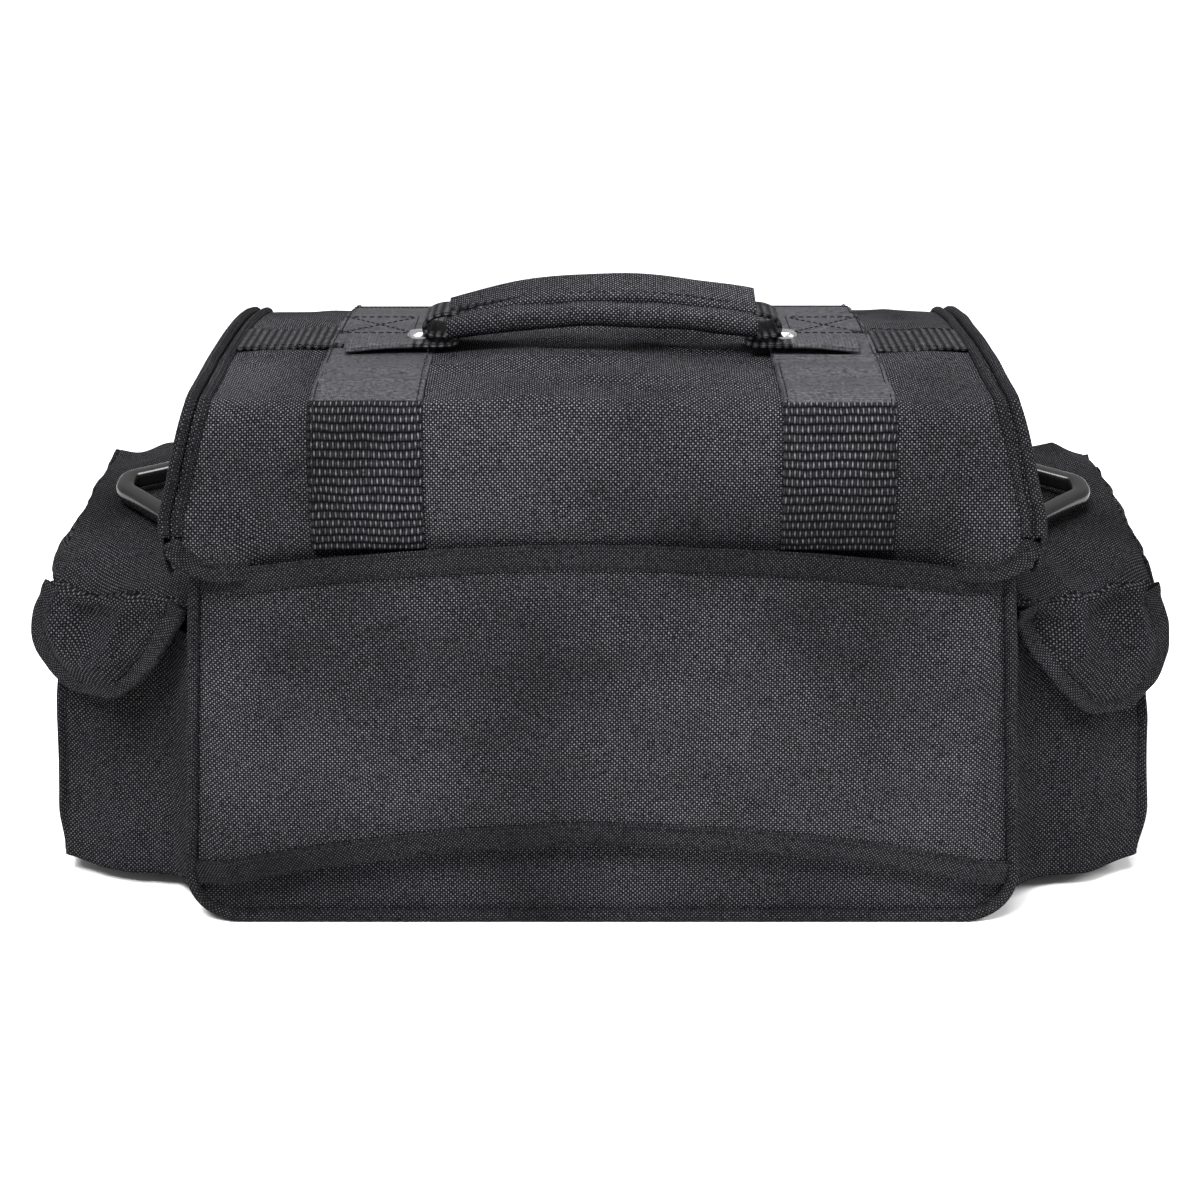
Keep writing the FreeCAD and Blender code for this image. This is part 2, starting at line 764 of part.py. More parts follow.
def make_pouch(word, side):
    """Side pouch: a wall lofted from its wide foot to its narrower mouth, and a floor."""
    body = new_body(f"side_pouch_{word}")
    sections = ((D.pouch_low, D.pouch_out_low, 0), (D.pouch_high, D.pouch_out_high, 3))
    sketches = []
    for height, out, inset in sections:
        points = [(side * x, y) for x, y in pouch_ring(body_edge(height), out, inset)]
        sketches.append(outline(sketch_on(body, "XY", height), points))
    loft = body.newObject("PartDesign::AdditiveLoft", f"side_pouch_{word}_loft")
    loft.Profile = sketches[0]
    loft.Sections = [sketches[1]]
    loft.Ruled = True
    keep(body, f"side_pouch_{word}")
    low = D.pouch_low
    inner = body_edge(low) + 0.5
    out = D.pouch_out_low - D.pouch_wall - 0.6
    deep_in = D.pouch_deep_in - D.pouch_wall * 1.12 - 0.6
    deep_out = D.pouch_deep_out - D.pouch_wall * 0.62 - 0.6
    points = [(side * inner, -deep_in), (side * out, -deep_out), (side * out, deep_out),
              (side * inner, deep_in)]
    name = f"side_pouch_base_{word}"
    keep(plate(name, "XY", points, low, low + D.pouch_wall), name)


def lobe(name, width, drop, tops):
    """A hanging lobe in the XZ plane: its upper edge follows the crease, its lower end is round."""
    half = width / 2
    points = [(-half, tops[0]), (-half, drop), (half, drop), (half, tops[1])]
    body = new_body(name)
    padded(body, "XZ", points, ZERO, D.flap_thick - 0.5)
    rounded(body, "XZ", points[1:3], D.lobe_round)
    return body


def crease_top(depth):
    """Height of the tilted flap panel's upper face at a place along the bag's depth."""
    lean = math.radians(D.ring_tilt.value)
    return value(D.flap_low + D.flap_thick) + depth * math.tan(lean) - 0.2


def make_flap(name, side):
    """Clover-shaped pouch flap: a tilted top panel with three lobes that hang over the pouch."""
    plan = [(side * D.flap_in, -D.flap_deep_in), (side * D.flap_out, -D.flap_deep_out),
            (side * D.flap_out, D.flap_deep_out), (side * D.flap_in, D.flap_deep_in)]
    panel = plate(f"{name}_panel", "XY", plan, ZERO, D.flap_thick)
    panel.Placement = Placement(Vector(0, 0, D.flap_low.value), Rotation(X_AXIS, D.ring_tilt.value))
    inner = D.flap_deep_in.value - 0.6
    outer = D.flap_deep_out.value - 0.6
    across = value(D.flap_out - D.flap_in)
    lean = math.degrees(math.atan2(inner - outer, across))
    middle_x = side * value(D.flap_in + D.flap_out) / 2
    middle_y = (inner + outer) / 2
    pieces = [panel]
    for end, turn in ((-1, side * lean), (1, 180 - side * lean)):
        tops = [crease_top(end * inner), crease_top(end * outer)]
        if end * side > 0:
            tops.reverse()
        piece = lobe(f"{name}_lobe{end + 2}", D.flap_out - D.flap_in, D.lobe_drop, tops)
        piece.Placement = Placement(Vector(middle_x, end * middle_y, 0), Rotation(Z_AXIS, turn))
        pieces.append(piece)
    half = outer - 4
    tops = [crease_top(-side * half), crease_top(side * half)]
    piece = lobe(f"{name}_lobe_outer", (D.flap_deep_out - 4.6) * 2, D.lobe_drop_out, tops)
    piece.Placement = Placement(Vector(side * D.flap_out.value, 0, 0), Rotation(Z_AXIS, side * 90))
    pieces.append(piece)
    keep(fused(name, pieces), name)


def make_ends():
    for word, side in SIDES.items():
        make_pouch(word, side)
        make_flap(f"side_flap_{word}", side)
        make_ring(f"d_ring_{word}", side)
        make_tab(f"strap_tab_{word}", side)


# ---------------------------------------------------------------- front of the bag

def make_front_pocket():
    face = D.depth_half + D.slip
    out = face + D.pocket_deep
    half = D.pocket_half
    body = new_body("front_pocket")
    base = [(-half, D.pocket_low), (half, D.pocket_low), (half, D.pocket_high),
            (-half, D.pocket_high)]
    padded(body, "XZ", base, face, out)
    rounded(body, "XZ", base[:2], D.pocket_round)
    room = half - D.fabric
    inside = [(-room, D.pocket_low + D.fabric), (room, D.pocket_low + D.fabric),
              (room, D.pocket_high + 5), (-room, D.pocket_high + 5)]
    pocketed(body, "XZ", inside, face + D.fabric, out - D.fabric)
    keep(body, "front_pocket")
    low = D.pocket_high - D.binding_wide
    keep(block("pocket_binding", (-half, out, low), (half, out + D.binding_thick, D.pocket_high)),
         "pocket_binding")


def strap_span(side, half):
    return (side * D.strap_place - half, side * D.strap_place + half)


def make_front_strap(name, side):
    low, high = strap_span(side, D.strap_wide / 2)
    face = D.depth_half + D.slip
    keep(block(name, (low, face, D.pocket_low), (high, face + D.webbing, D.socket_low)), name)


def make_socket(name, side):
    """Female half of a side-release buckle: a mouth at the top, a window in each flank."""
    low, high = strap_span(side, D.buckle_wide / 2)
    face = D.depth_half + D.free_gap
    out = face + D.buckle_thick
    body = new_body(name)
    shell = [(low, D.socket_low), (high, D.socket_low), (high, D.socket_high),
             (low, D.socket_high)]
    padded(body, "XZ", shell, face, out)
    wall = 2.4
    mouth = [(low + wall, D.socket_low + 6), (high - wall, D.socket_low + 6),
             (high - wall, D.socket_high + 2), (low + wall, D.socket_high + 2)]
    pocketed(body, "XZ", mouth, face + wall, out - wall)
    window = [(low - 1, D.socket_low + 10), (high + 1, D.socket_low + 10),
              (high + 1, D.socket_high - 8), (low - 1, D.socket_high - 8)]
    pocketed(body, "XZ", window, face + wall, out - wall)
    keep(body, name)


def make_plug(name, side):
    """Male half of the buckle: a bar, two sprung arms with barbs and a middle guide."""
    middle = side * D.strap_place
    half = D.buckle_wide / 2
    arm = [(half, D.plug_high), (half, D.plug_shoulder), (half - 5, D.plug_shoulder),
           (half - 4, D.plug_low + 12), (half - 3, D.plug_low + 6), (half - 10, D.plug_low),
           (half - 13, D.plug_low + 4), (half - 11, D.plug_shoulder), (3, D.plug_shoulder),
           (2, D.plug_low)]
    points = [(middle + x, z) for x, z in arm] + [(middle - x, z) for x, z in reversed(arm)]
    thick = D.buckle_thick / 2 - 2.8
    keep(plate(name, "XZ", points, D.tail_place - thick, D.tail_place + thick), name)


def make_tail(name, side):
    low, high = strap_span(side, D.strap_wide / 2)
    thick = D.webbing / 2
    keep(block(name, (low, D.tail_place - thick, D.plug_high),
               (high, D.tail_place + thick, D.tail_high)), name)


def make_front():
    make_front_pocket()
    for word, side in SIDES.items():
        make_front_strap(f"front_webbing_{word}", side)
        make_socket(f"buckle_socket_{word}", side)
        make_plug(f"buckle_plug_{word}", side)
        make_tail(f"strap_tail_{word}", side)


# ---------------------------------------------------------------- build, check and write

make_body()
make_lid()
make_ends()
make_front()
doc.recompute()

faults = [f"{item.Label}: {item.State}" for item in doc.Objects
          if "Invalid" in item.State or "Error" in item.State]
for name, piece in parts.items():
    if piece.Shape.isNull() or not piece.Shape.isValid():
        faults.append(f"{name}: shape is null or not valid")
if faults:
    raise ValueError("; ".join(faults))
for name, piece in parts.items():
    piece.Shape.exportStep(f"parts/{name}.step")
print(len(parts), "parts written")
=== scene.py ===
"""Looks of the camera bag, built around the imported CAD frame. Units are metres."""
import math

import bpy
import numpy as np
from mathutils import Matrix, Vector, noise


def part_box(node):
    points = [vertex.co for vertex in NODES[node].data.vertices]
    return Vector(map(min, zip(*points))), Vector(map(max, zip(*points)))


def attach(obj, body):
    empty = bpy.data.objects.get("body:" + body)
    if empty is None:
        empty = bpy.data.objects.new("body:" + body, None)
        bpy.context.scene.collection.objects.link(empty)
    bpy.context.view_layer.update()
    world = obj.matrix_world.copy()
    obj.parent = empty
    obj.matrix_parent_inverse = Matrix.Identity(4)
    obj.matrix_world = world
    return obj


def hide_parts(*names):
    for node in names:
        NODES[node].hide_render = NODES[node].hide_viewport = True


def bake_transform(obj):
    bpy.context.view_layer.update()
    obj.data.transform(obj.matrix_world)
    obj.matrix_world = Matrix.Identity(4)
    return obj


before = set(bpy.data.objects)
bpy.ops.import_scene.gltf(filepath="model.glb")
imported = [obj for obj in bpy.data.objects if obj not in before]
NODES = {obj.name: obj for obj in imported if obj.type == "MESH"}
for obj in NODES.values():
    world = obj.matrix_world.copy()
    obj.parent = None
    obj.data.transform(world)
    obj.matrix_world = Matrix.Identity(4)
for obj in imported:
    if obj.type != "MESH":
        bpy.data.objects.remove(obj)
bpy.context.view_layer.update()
MM = 0.001
SIDES = {"left": -1, "right": 1}


# ---------------------------------------------------------------- places read from the frame

def low(node):
    return np.array(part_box(node)[0])


def high(node):
    return np.array(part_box(node)[1])


def widest(node, height):
    """Half length of a CAD node near a height."""
    places = np.array([vertex.co for vertex in NODES[node].data.vertices])
    near = places[np.abs(places[:, 2] - height) < 2 * MM]
    return near[:, 0].max()


WALL_TOP = high("front_panel")[2]
BASE_HALF = high("end_panel_right")[0]
TOP_HALF = widest("front_panel", WALL_TOP)
DEPTH = high("front_panel")[1]
CORNER = 25 * MM
BAND = 12 * MM
EDGE_TAPE = 10 * MM
POUCH_TAPE = 11 * MM


def edge(z):
    """Half length of the tapered body at a height."""
    return BASE_HALF + (TOP_HALF - BASE_HALF) * z / WALL_TOP


# ---------------------------------------------------------------- materials

class Graph:
    """A short way to write a node material."""

    def __init__(self, name):
        self.material = bpy.data.materials.new(name)
        self.material.use_nodes = True
        self.tree = self.material.node_tree
        self.shader = self.tree.nodes["Principled BSDF"]

    def node(self, kind, **inputs):
        made = self.tree.nodes.new(kind)
        for key, given in inputs.items():
            self.feed(made.inputs[key.replace("_", " ")], given)
        return made

    def feed(self, socket, given):
        if isinstance(given, bpy.types.NodeSocket):
            self.tree.links.new(given, socket)
        else:
            socket.default_value = given

    def math(self, operation, first, second=0.0):
        made = self.tree.nodes.new("ShaderNodeMath")
        made.operation = operation
        self.feed(made.inputs[0], first)
        self.feed(made.inputs[1], second)
        return made.outputs[0]

    def noise(self, vector, scale, detail=2.0):
        made = self.node("ShaderNodeTexNoise", Scale=scale, Detail=detail)
        self.feed(made.inputs["Vector"], vector)
        return made.outputs["Fac"]

    def weave(self):
        """Lengths along the cloth's two directions, laid out in metres."""
        made = self.tree.nodes.new("ShaderNodeTexCoord")
        split = self.node("ShaderNodeSeparateXYZ", Vector=made.outputs["UV"])
        return split.outputs["X"], split.outputs["Y"]

    def place(self):
        return self.tree.nodes.new("ShaderNodeTexCoord").outputs["Object"]

    def blend(self, factor, first, second):
        made = self.tree.nodes.new("ShaderNodeMix")
        made.data_type = "RGBA"
        self.feed(made.inputs["Factor"], factor)
        self.feed(made.inputs[6], first)
        self.feed(made.inputs[7], second)
        return made.outputs[2]

    def bump(self, height, distance, strength=1.0):
        made = self.node("ShaderNodeBump", Height=height, Distance=distance, Strength=strength)
        self.feed(self.shader.inputs["Normal"], made.outputs["Normal"])

    def wave(self, place, pitch, shift=0.0):
        """Sine of a length, one half wave per pitch."""
        turned = self.math("MULTIPLY", place, math.pi / pitch)
        return self.math("SINE", self.math("ADD", turned, shift))

    def yarn(self, place, scale, floor, gain):
        """Uneven brightness from one yarn to the next."""
        return self.math("MULTIPLY", self.math("SUBTRACT", self.noise(place, scale, 1.0), floor), gain)

    def tone(self, shade, dark, light):
        """A grey between two levels, for a shade that is held between 0 and 1."""
        held = self.math("MINIMUM", self.math("MAXIMUM", shade, 0.0), 1.0)
        return self.blend(held, grey(dark), grey(light))

    def finish(self, **sockets):
        for key, given in sockets.items():
            self.feed(self.shader.inputs[key.replace("_", " ")], given)
        return self.material


GAP_ROUGH = 0.9
CROWN_ROUGH = 0.42


def grey(level, blue=1.1):
    return (level, level * 0.99, level * blue, 1.0)


def woven(name, dark, light, pitch=1.08 * MM, row=None, depth=0.13 * MM, gloss=0.05):
    """Staggered yarn crowns with a painted highlight, shinier than the gaps between, which get painted
    shade; `row` spaces webbing's rows.
    """
    g = Graph(name)
    u, v = g.weave()
    place = g.place()
    drift = g.math("MULTIPLY", g.math("SUBTRACT", g.noise(place, 55.0), 0.5), pitch * 2.0)
    across = g.wave(g.math("ADD", u, drift), pitch)
    along = g.wave(g.math("ADD", v, drift), row or pitch)
    cross = g.math("MULTIPLY", across, along)
    over = g.math("POWER", g.math("MAXIMUM", cross, 0.0), 1.9)
    under = g.math("MULTIPLY", g.math("MAXIMUM", g.math("MULTIPLY", cross, -1.0), 0.0), 0.22)
    height = g.math("ADD", over, under)
    yarn = g.yarn(place, 700.0, 0.12, 2.2)
    patch = g.math("ADD", g.math("MULTIPLY", g.noise(place, 9.0, 4.0), 2.6), -0.3)
    # Painted light: colour rises with the crown mask, a painted highlight on each yarn crown and painted
    # shade in the gaps.
    lit = g.math("MULTIPLY", g.math("ADD", over, g.math("MULTIPLY", under, 0.6)), yarn)
    colour = g.tone(g.math("MULTIPLY", lit, patch), dark, light)
    g.bump(height, depth)
    roughness = g.math("SUBTRACT", GAP_ROUGH, g.math("MULTIPLY", over, GAP_ROUGH - CROWN_ROUGH))
    return g.finish(Base_Color=colour, Roughness=roughness, Specular_IOR_Level=gloss)


def ribbed(name, dark, light, rib, yarn_pitch, depth):
    """Ribs across a band, each made of short yarn floats."""
    g = Graph(name)
    u, v = g.weave()
    ribs = g.math("POWER", g.math("ABSOLUTE", g.wave(v, rib)), 1.2)
    floats = g.math("ADD", g.math("MULTIPLY", g.math("ABSOLUTE", g.wave(u, yarn_pitch)), 0.5), 0.5)
    height = g.math("MULTIPLY", ribs, floats)
    yarn = g.yarn(g.place(), 500.0, 0.2, 2.4)
    # Painted light: a painted highlight on each rib crest and painted shade in the grooves between ribs.
    colour = g.tone(g.math("MULTIPLY", g.math("POWER", height, 1.5), yarn), dark, light)
    g.bump(height, depth)
    return g.finish(Base_Color=colour, Roughness=0.5, Specular_IOR_Level=0.07)


def twill(name, dark, light):
    """Fine diagonal ribs, as on the smooth face of a strap."""
    g = Graph(name)
    u, v = g.weave()
    ribs = g.math("ABSOLUTE", g.wave(g.math("ADD", u, g.math("MULTIPLY", v, 0.8)), 1.0 * MM))
    rows = g.math("ADD", g.math("MULTIPLY", g.math("ABSOLUTE", g.wave(v, 1.6 * MM)), 0.5), 0.5)
    height = g.math("MULTIPLY", ribs, rows)
    # Painted light: a painted highlight on the diagonal ribs and painted shade in the grooves between.
    colour = g.tone(g.math("MULTIPLY", height, g.yarn(g.place(), 600.0, 0.15, 2.0)), dark, light)
    g.bump(height, 0.25 * MM, 0.9)
    return g.finish(Base_Color=colour, Roughness=0.5, Specular_IOR_Level=0.16)


def moulded(name, level, rough, grain, shine=0.6):
    """Moulded plastic: fine grain, slight gloss variation and faint scuffs."""
    g = Graph(name)
    place = g.place()
    fine = g.noise(place, 1500.0, 2.0)
    broad = g.noise(place, 40.0, 3.0)
    colour = g.blend(broad, grey(level * 0.8, 1.0), grey(level * 1.5, 1.03))
    g.bump(fine, grain, 0.5)
    gloss = g.math("ADD", g.math("MULTIPLY", broad, 0.12), rough - 0.06)
    return g.finish(Base_Color=colour, Roughness=gloss, Specular_IOR_Level=shine)


def plated(name):
    g = Graph(name)
    place = g.place()
    broad = g.noise(place, 300.0, 3.0)
    colour = g.blend(broad, (0.62, 0.63, 0.65, 1), (0.86, 0.87, 0.88, 1))
    g.bump(g.noise(place, 2500.0), 0.01 * MM, 0.3)
    return g.finish(Base_Color=colour, Roughness=g.math("ADD", g.math("MULTIPLY", broad, 0.2), 0.14),
                    Metallic=1.0)


def brushed_lining(name):
    """Loop lining: a soft, short, slightly mottled pile."""
    g = Graph(name)
    place = g.place()
    pile = g.noise(place, 1400.0, 3.0)
    patch = g.noise(place, 30.0, 3.0)
    shade = g.math("MULTIPLY", pile, g.math("ADD", g.math("MULTIPLY", patch, 0.6), 0.6))
    colour = g.blend(shade, grey(0.05), grey(0.2))
    g.bump(pile, 0.5 * MM, 0.8)
    return g.finish(Base_Color=colour, Roughness=0.95, Sheen_Weight=0.5, Sheen_Roughness=0.5)


def thread_material(name):
    g = Graph(name)
    place = g.place()
    ply = g.noise(place, 2600.0, 1.0)
    colour = g.blend(ply, grey(0.002), grey(0.012))
    g.bump(ply, 0.1 * MM, 0.8)
    return g.finish(Base_Color=colour, Roughness=0.6, Specular_IOR_Level=0.1)


def pale_floor(name):
    g = Graph(name)
    place = g.place()
    colour = g.blend(g.noise(place, 2.0), (0.9, 0.9, 0.9, 1), (0.93, 0.93, 0.93, 1))
    return g.finish(Base_Color=colour, Roughness=0.85)


CLOTH = woven("shell_cloth", 0.0004, 0.15)
# Painted shade: a darker copy of the shell cloth for the pouch walls, floors, hems and fins and the flaps
# and their lobes.
SHADED_SIDE_CLOTH = woven("pouch_cloth_painted_shade", 0.0004, 0.095, gloss=0.04)
CORD_CLOTH = woven("piping_cloth", 0.0006, 0.085, pitch=1.0 * MM)
TAPE = woven("binding_cloth", 0.0005, 0.085, pitch=0.85 * MM, depth=0.1 * MM)
WEBBING = woven("strap_webbing", 0.0003, 0.13, pitch=1.2 * MM, row=3.9 * MM, depth=0.5 * MM)
TWILL = twill("strap_twill", 0.002, 0.095)
CROSS = ribbed("cross_webbing_ribs", 0.0003, 0.06, 3.6 * MM, 1.2 * MM, 0.9 * MM)
RING = moulded("ring_gloss", 0.004, 0.2, 0.01 * MM)
BUCKLE = moulded("buckle_satin", 0.003, 0.42, 0.03 * MM, shine=0.25)
BOARD = moulded("board_plastic", 0.02, 0.6, 0.05 * MM)
RIVET = plated("rivet_nickel")
LINING = brushed_lining("loop_lining")
THREAD = thread_material("stitch_thread")


# ---------------------------------------------------------------- mesh helpers

def creases(points, size, wave, seed=0.0):
    """Sharp-bottomed folds: noise folded about its middle, all at or below zero."""
    return -np.abs(ruffle(points, size * 2, wave, seed))


def ruffle(points, size, wave, seed=0.0):
    """Smooth noise at each point, in metres, with waves about `wave` long."""
    flat = points.reshape(-1, 3) / wave
    shift = Vector((seed * 3.7, seed * 1.3, seed * 2.1))
    values = [noise.noise(Vector(point) + shift) for point in flat]
    return np.array(values).reshape(points.shape[:-1]) * size


def make_object(name, vertices, faces, uvs, material):
    mesh = bpy.data.meshes.new(name)
    mesh.from_pydata([tuple(v) for v in vertices], [], faces)
    layer = mesh.uv_layers.new(name="UVMap")
    loops = np.array([index for face in faces for index in face])
    if callable(uvs):
        flat = uvs(mesh)
    else:
        flat = np.asarray(uvs)[loops]
    layer.data.foreach_set("uv", flat.astype(np.float32).ravel())
    mesh.polygons.foreach_set("use_smooth", [True] * len(faces))
    mesh.materials.append(material)
    made = bpy.data.objects.new(name, mesh)
    bpy.context.scene.collection.objects.link(made)
    return made


def joined(*parts):
    """Coordinates put together into points; single numbers and rows fill out to the largest part."""
    return np.stack(np.broadcast_arrays(*parts), -1)


def between(marks, places, values):
    """Points at marks along a row of values that are known at places."""
    return joined(*(np.interp(marks, places, column) for column in values.T))


def lengths(points):
    """Distance along a row of points."""
    steps = np.linalg.norm(np.diff(points, axis=0), axis=1)
    return np.concatenate([[0.0], np.cumsum(steps)])


def grid(name, points, material, uv=None, thick=0.0, inside=(0, 0, 0.1)):
    """A surface through a grid of points that faces away from `inside`, given some thickness."""
    rows, columns = points.shape[:2]
    if uv is None:
        u = lengths(points[rows // 2])
        uv = joined(u - u.mean(), lengths(points[:, columns // 2])[:, None])
    index = np.arange(rows * columns).reshape(rows, columns)
    quads = np.stack([index[:-1, :-1], index[:-1, 1:], index[1:, 1:], index[1:, :-1]], -1)
    quads = quads.reshape(-1, 4)
    flat = points.reshape(-1, 3)
    middle = flat[quads].mean(axis=1)
    facing = np.cross(flat[quads[:, 2]] - flat[quads[:, 0]], flat[quads[:, 3]] - flat[quads[:, 1]])
    if (facing * (middle - np.array(inside))).sum() < 0:
        quads = quads[:, ::-1]
    made = make_object(name, flat, quads.tolist(), uv.reshape(-1, 2), material)
    if thick:
        solid = made.modifiers.new("thick", "SOLIDIFY")
        solid.thickness = thick
        solid.offset = -1.0
        solid.use_even_offset = False
        settle(made)
    return made


def settle(made):
    """Apply the modifiers."""
    bpy.context.view_layer.update()
    view = bpy.context.evaluated_depsgraph_get()
    mesh = bpy.data.meshes.new_from_object(made.evaluated_get(view))
    made.modifiers.clear()
    made.data = mesh


def unit(vectors):
    size = np.linalg.norm(vectors, axis=-1, keepdims=True)
    return vectors / np.maximum(size, 1e-9)


def tangents(path):
    return unit(np.gradient(path, axis=0))


def sideways(line):
    """Level directions square to a level line, to its right."""
    ahead = tangents(line)
    return joined(ahead[:, 1], -ahead[:, 0], 0)


def resample(points, step):
    """The same line with evenly spaced points."""
    points = np.asarray(points, float)
    along = lengths(points)
    count = max(int(round(along[-1] / step)), 3) + 1
    marks = np.linspace(0, along[-1], count)
    return between(marks, along, points)


def soften(points, rounds=3):
    """Cut the corners of a line, which rounds it; the ends stay."""
    points = np.asarray(points, float)
    for _ in range(rounds):
        early = points[:-1] * 0.75 + points[1:] * 0.25
        late = points[:-1] * 0.25 + points[1:] * 0.75
        middle = np.empty((2 * len(early), points.shape[1]))
        middle[0::2] = early
        middle[1::2] = late
        points = np.vstack([points[:1], middle, points[-1:]])
    return points


def sweep(name, path, across, normal, section, material, closed=False):
    """A closed section swept along a path; section points are (across, normal) offsets."""
    path = np.asarray(path, float)
    count = len(path)
    across = np.broadcast_to(across, path.shape)
    normal = np.broadcast_to(normal, path.shape)
    section = np.asarray(section, float)
    if section.ndim == 2:
        section = np.broadcast_to(section, (count,) + section.shape)
    ring = section.shape[1]
    places = (path[:, None] + section[:, :, :1] * across[:, None]
              + section[:, :, 1:] * normal[:, None])
    index = np.arange(count * ring).reshape(count, ring)
    after = np.roll(index, -1, axis=1)
    last = count if closed else count - 1
    faces = []
    for row in range(last):
        ahead = (row + 1) % count
        quads = np.stack([index[row], after[row], after[ahead], index[ahead]], -1)
        faces += quads.tolist()
    if not closed:
        faces.append(index[0][::-1].tolist())
        faces.append(index[-1].tolist())
    around = lengths(np.vstack([section[0], section[0][:1]]))[:ring]
    along = lengths(path)
    uv = joined(around[None], along[:, None])
    return make_object(name, places.reshape(-1, 3), faces, uv.reshape(-1, 2), material)


def frames(path, up):
    """Across and normal directions along a path, with the normal as near to `up` as can be."""
    path = np.asarray(path, float)
    tangent = tangents(path)
    up = np.broadcast_to(up, path.shape)
    normal = unit(up - (up * tangent).sum(-1, keepdims=True) * tangent)
    return np.cross(tangent, normal), normal


def oval(wide, tall, count=14, power=2.0):
    """A rounded section; a higher power makes it squarer."""
    turn = np.linspace(0, 2 * math.pi, count, endpoint=False)
    c, s = np.cos(turn), np.sin(turn)
    squash = 2.0 / power
    return joined(np.sign(c) * np.abs(c) ** squash * wide / 2,
                  np.sign(s) * np.abs(s) ** squash * tall / 2)


def flat_section(wide, thick, steps=12):
    """A strap's section: many points across, rounded edges."""
    x = np.linspace(-0.5, 0.5, steps) * (wide - thick)
    top = joined(x, thick / 2)
    bottom = top[::-1] * [1, -1]
    nose = np.array([[wide / 2 - thick * 0.12, thick * 0.3], [wide / 2, 0],
                     [wide / 2 - thick * 0.12, -thick * 0.3]])
    tail = nose[::-1] * [-1, 1]
    return np.vstack([top, nose, bottom, tail])


def strap(name, path, up, wide, thick, material):
    path = resample(path, 2.5 * MM)
    up = resample_like(up, path) if np.ndim(up) == 2 else up
    return sweep(name, path, *frames(path, up), flat_section(wide, thick), material)


def tube(name, path, radius, material, up):
    return sweep(name, path, *frames(path, up), oval(radius * 2, radius * 2, 12), material)


def box_uv(mesh):
    """Lay the weave on each face along the two axes that it faces least."""
    flat = []
    for polygon in mesh.polygons:
        normal = [abs(value) for value in polygon.normal]
        axis = normal.index(max(normal))
        first, second = [(1, 2), (0, 2), (0, 1)][axis]
        for index in polygon.vertices:
            place = mesh.vertices[index].co
            flat.append((place[first], place[second]))
    return np.array(flat)


PAD_CROWN = 1.0 * MM
PAD_CELL = 7 * MM


def pillow(name, lowest, highest, bend=None, round_by=3 * MM):
    """A padded panel: a box with rounded edges and slightly crowned faces."""
    lowest, highest = np.array(lowest), np.array(highest)
    size = highest - lowest
    round_by = min(round_by, size.min() * 0.49)
    axes = []
    for axis in range(3):
        inner = max(size[axis] - 2 * round_by, 1e-5)
        count = max(int(inner / PAD_CELL), 1)
        corner = round_by * (1 - np.cos(np.linspace(0, math.pi / 2, 4)))
        axes.append(np.concatenate([corner[:-1], round_by + np.linspace(0, inner, count + 1),
                                    (size[axis] - corner[:-1])[::-1]]))
    vertices = {}
    faces = []
    places = []

    def vertex(i, j, k):
        key = (i, j, k)
        if key not in vertices:
            vertices[key] = len(places)
            raw = np.array([axes[0][i], axes[1][j], axes[2][k]])
            core = np.clip(raw, round_by, size - round_by)
            out = raw - core
            reach = np.linalg.norm(out)
            if reach > 1e-9:
                out = out / reach * round_by
            middle = np.sin(np.pi * np.clip(raw / size, 0, 1))
            facing = np.abs(out).argmax()
            others = [axis for axis in range(3) if axis != facing]
            out[facing] += np.sign(out[facing]) * PAD_CROWN * middle[others[0]] * middle[others[1]]
            places.append(lowest + core + out)
        return vertices[key]

    last = [len(values) - 1 for values in axes]
    for axis in range(3):
        first, second = [other for other in range(3) if other != axis]
        for level in (0, last[axis]):
            for a in range(last[first]):
                for b in range(last[second]):
                    corners = []
                    for da, db in ((0, 0), (1, 0), (1, 1), (0, 1)):
                        key = [0, 0, 0]
                        key[axis] = level
                        key[first] = a + da
                        key[second] = b + db
                        corners.append(vertex(*key))
                    wanted = (level == 0) == (axis == 1)
                    faces.append(corners if wanted else corners[::-1])
    places = np.array(places)
    places = places + ruffle(places, 0.5 * MM, 30 * MM, 2.0)[:, None] * 0.5
    if bend is not None:
        places = bend(places)
    return make_object(name, places, faces, box_uv, LINING)


STITCH = 2.6 * MM
STITCH_GAP = 1.2 * MM
THREAD_RADIUS = 0.32 * MM


def stitches(name, lines, body):
    """Rows of thread stitches; each line is a path and the direction that it faces."""
    ring = 6
    vertices = []
    faces = []
    turn = np.linspace(0, 2 * math.pi, ring, endpoint=False)
    profile = [(-0.5, 0.35), (-0.32, 1.0), (0.32, 1.0), (0.5, 0.35)]
    for path, up in lines:
        path = resample(path, STITCH + STITCH_GAP)
        up = np.broadcast_to(up, path.shape) if np.ndim(up) == 1 else resample_like(up, path)
        across, normal = frames(path, up)
        tangent = np.cross(normal, across)
        for spot, side, out, ahead in zip(path[:-1], across, normal, tangent):
            start = len(vertices)
            for along, size in profile:
                sink = THREAD_RADIUS * (-0.5 if size < 1 else 0.2)
                middle = spot + ahead * along * STITCH + out * sink
                for angle in turn:
                    spoke = side * math.cos(angle) + out * math.sin(angle)
                    vertices.append(middle + spoke * THREAD_RADIUS * size)
            for level in range(3):
                base = start + level * ring
                for k in range(ring):
                    after = (k + 1) % ring
                    faces.append([base + k, base + after, base + ring + after, base + ring + k])
            faces.append([start + k for k in range(ring)][::-1])
            faces.append([start + 3 * ring + k for k in range(ring)])
    made = make_object(name, vertices, faces, np.array(vertices)[:, :2], THREAD)
    place(made, body, "binding_tape")


def spans(corners, order, count):
    """Straight lines of points from corner to corner, in the order given."""
    corners = np.array(corners)
    return [np.linspace(corners[a], corners[b], count) for a, b in zip(order, order[1:])]


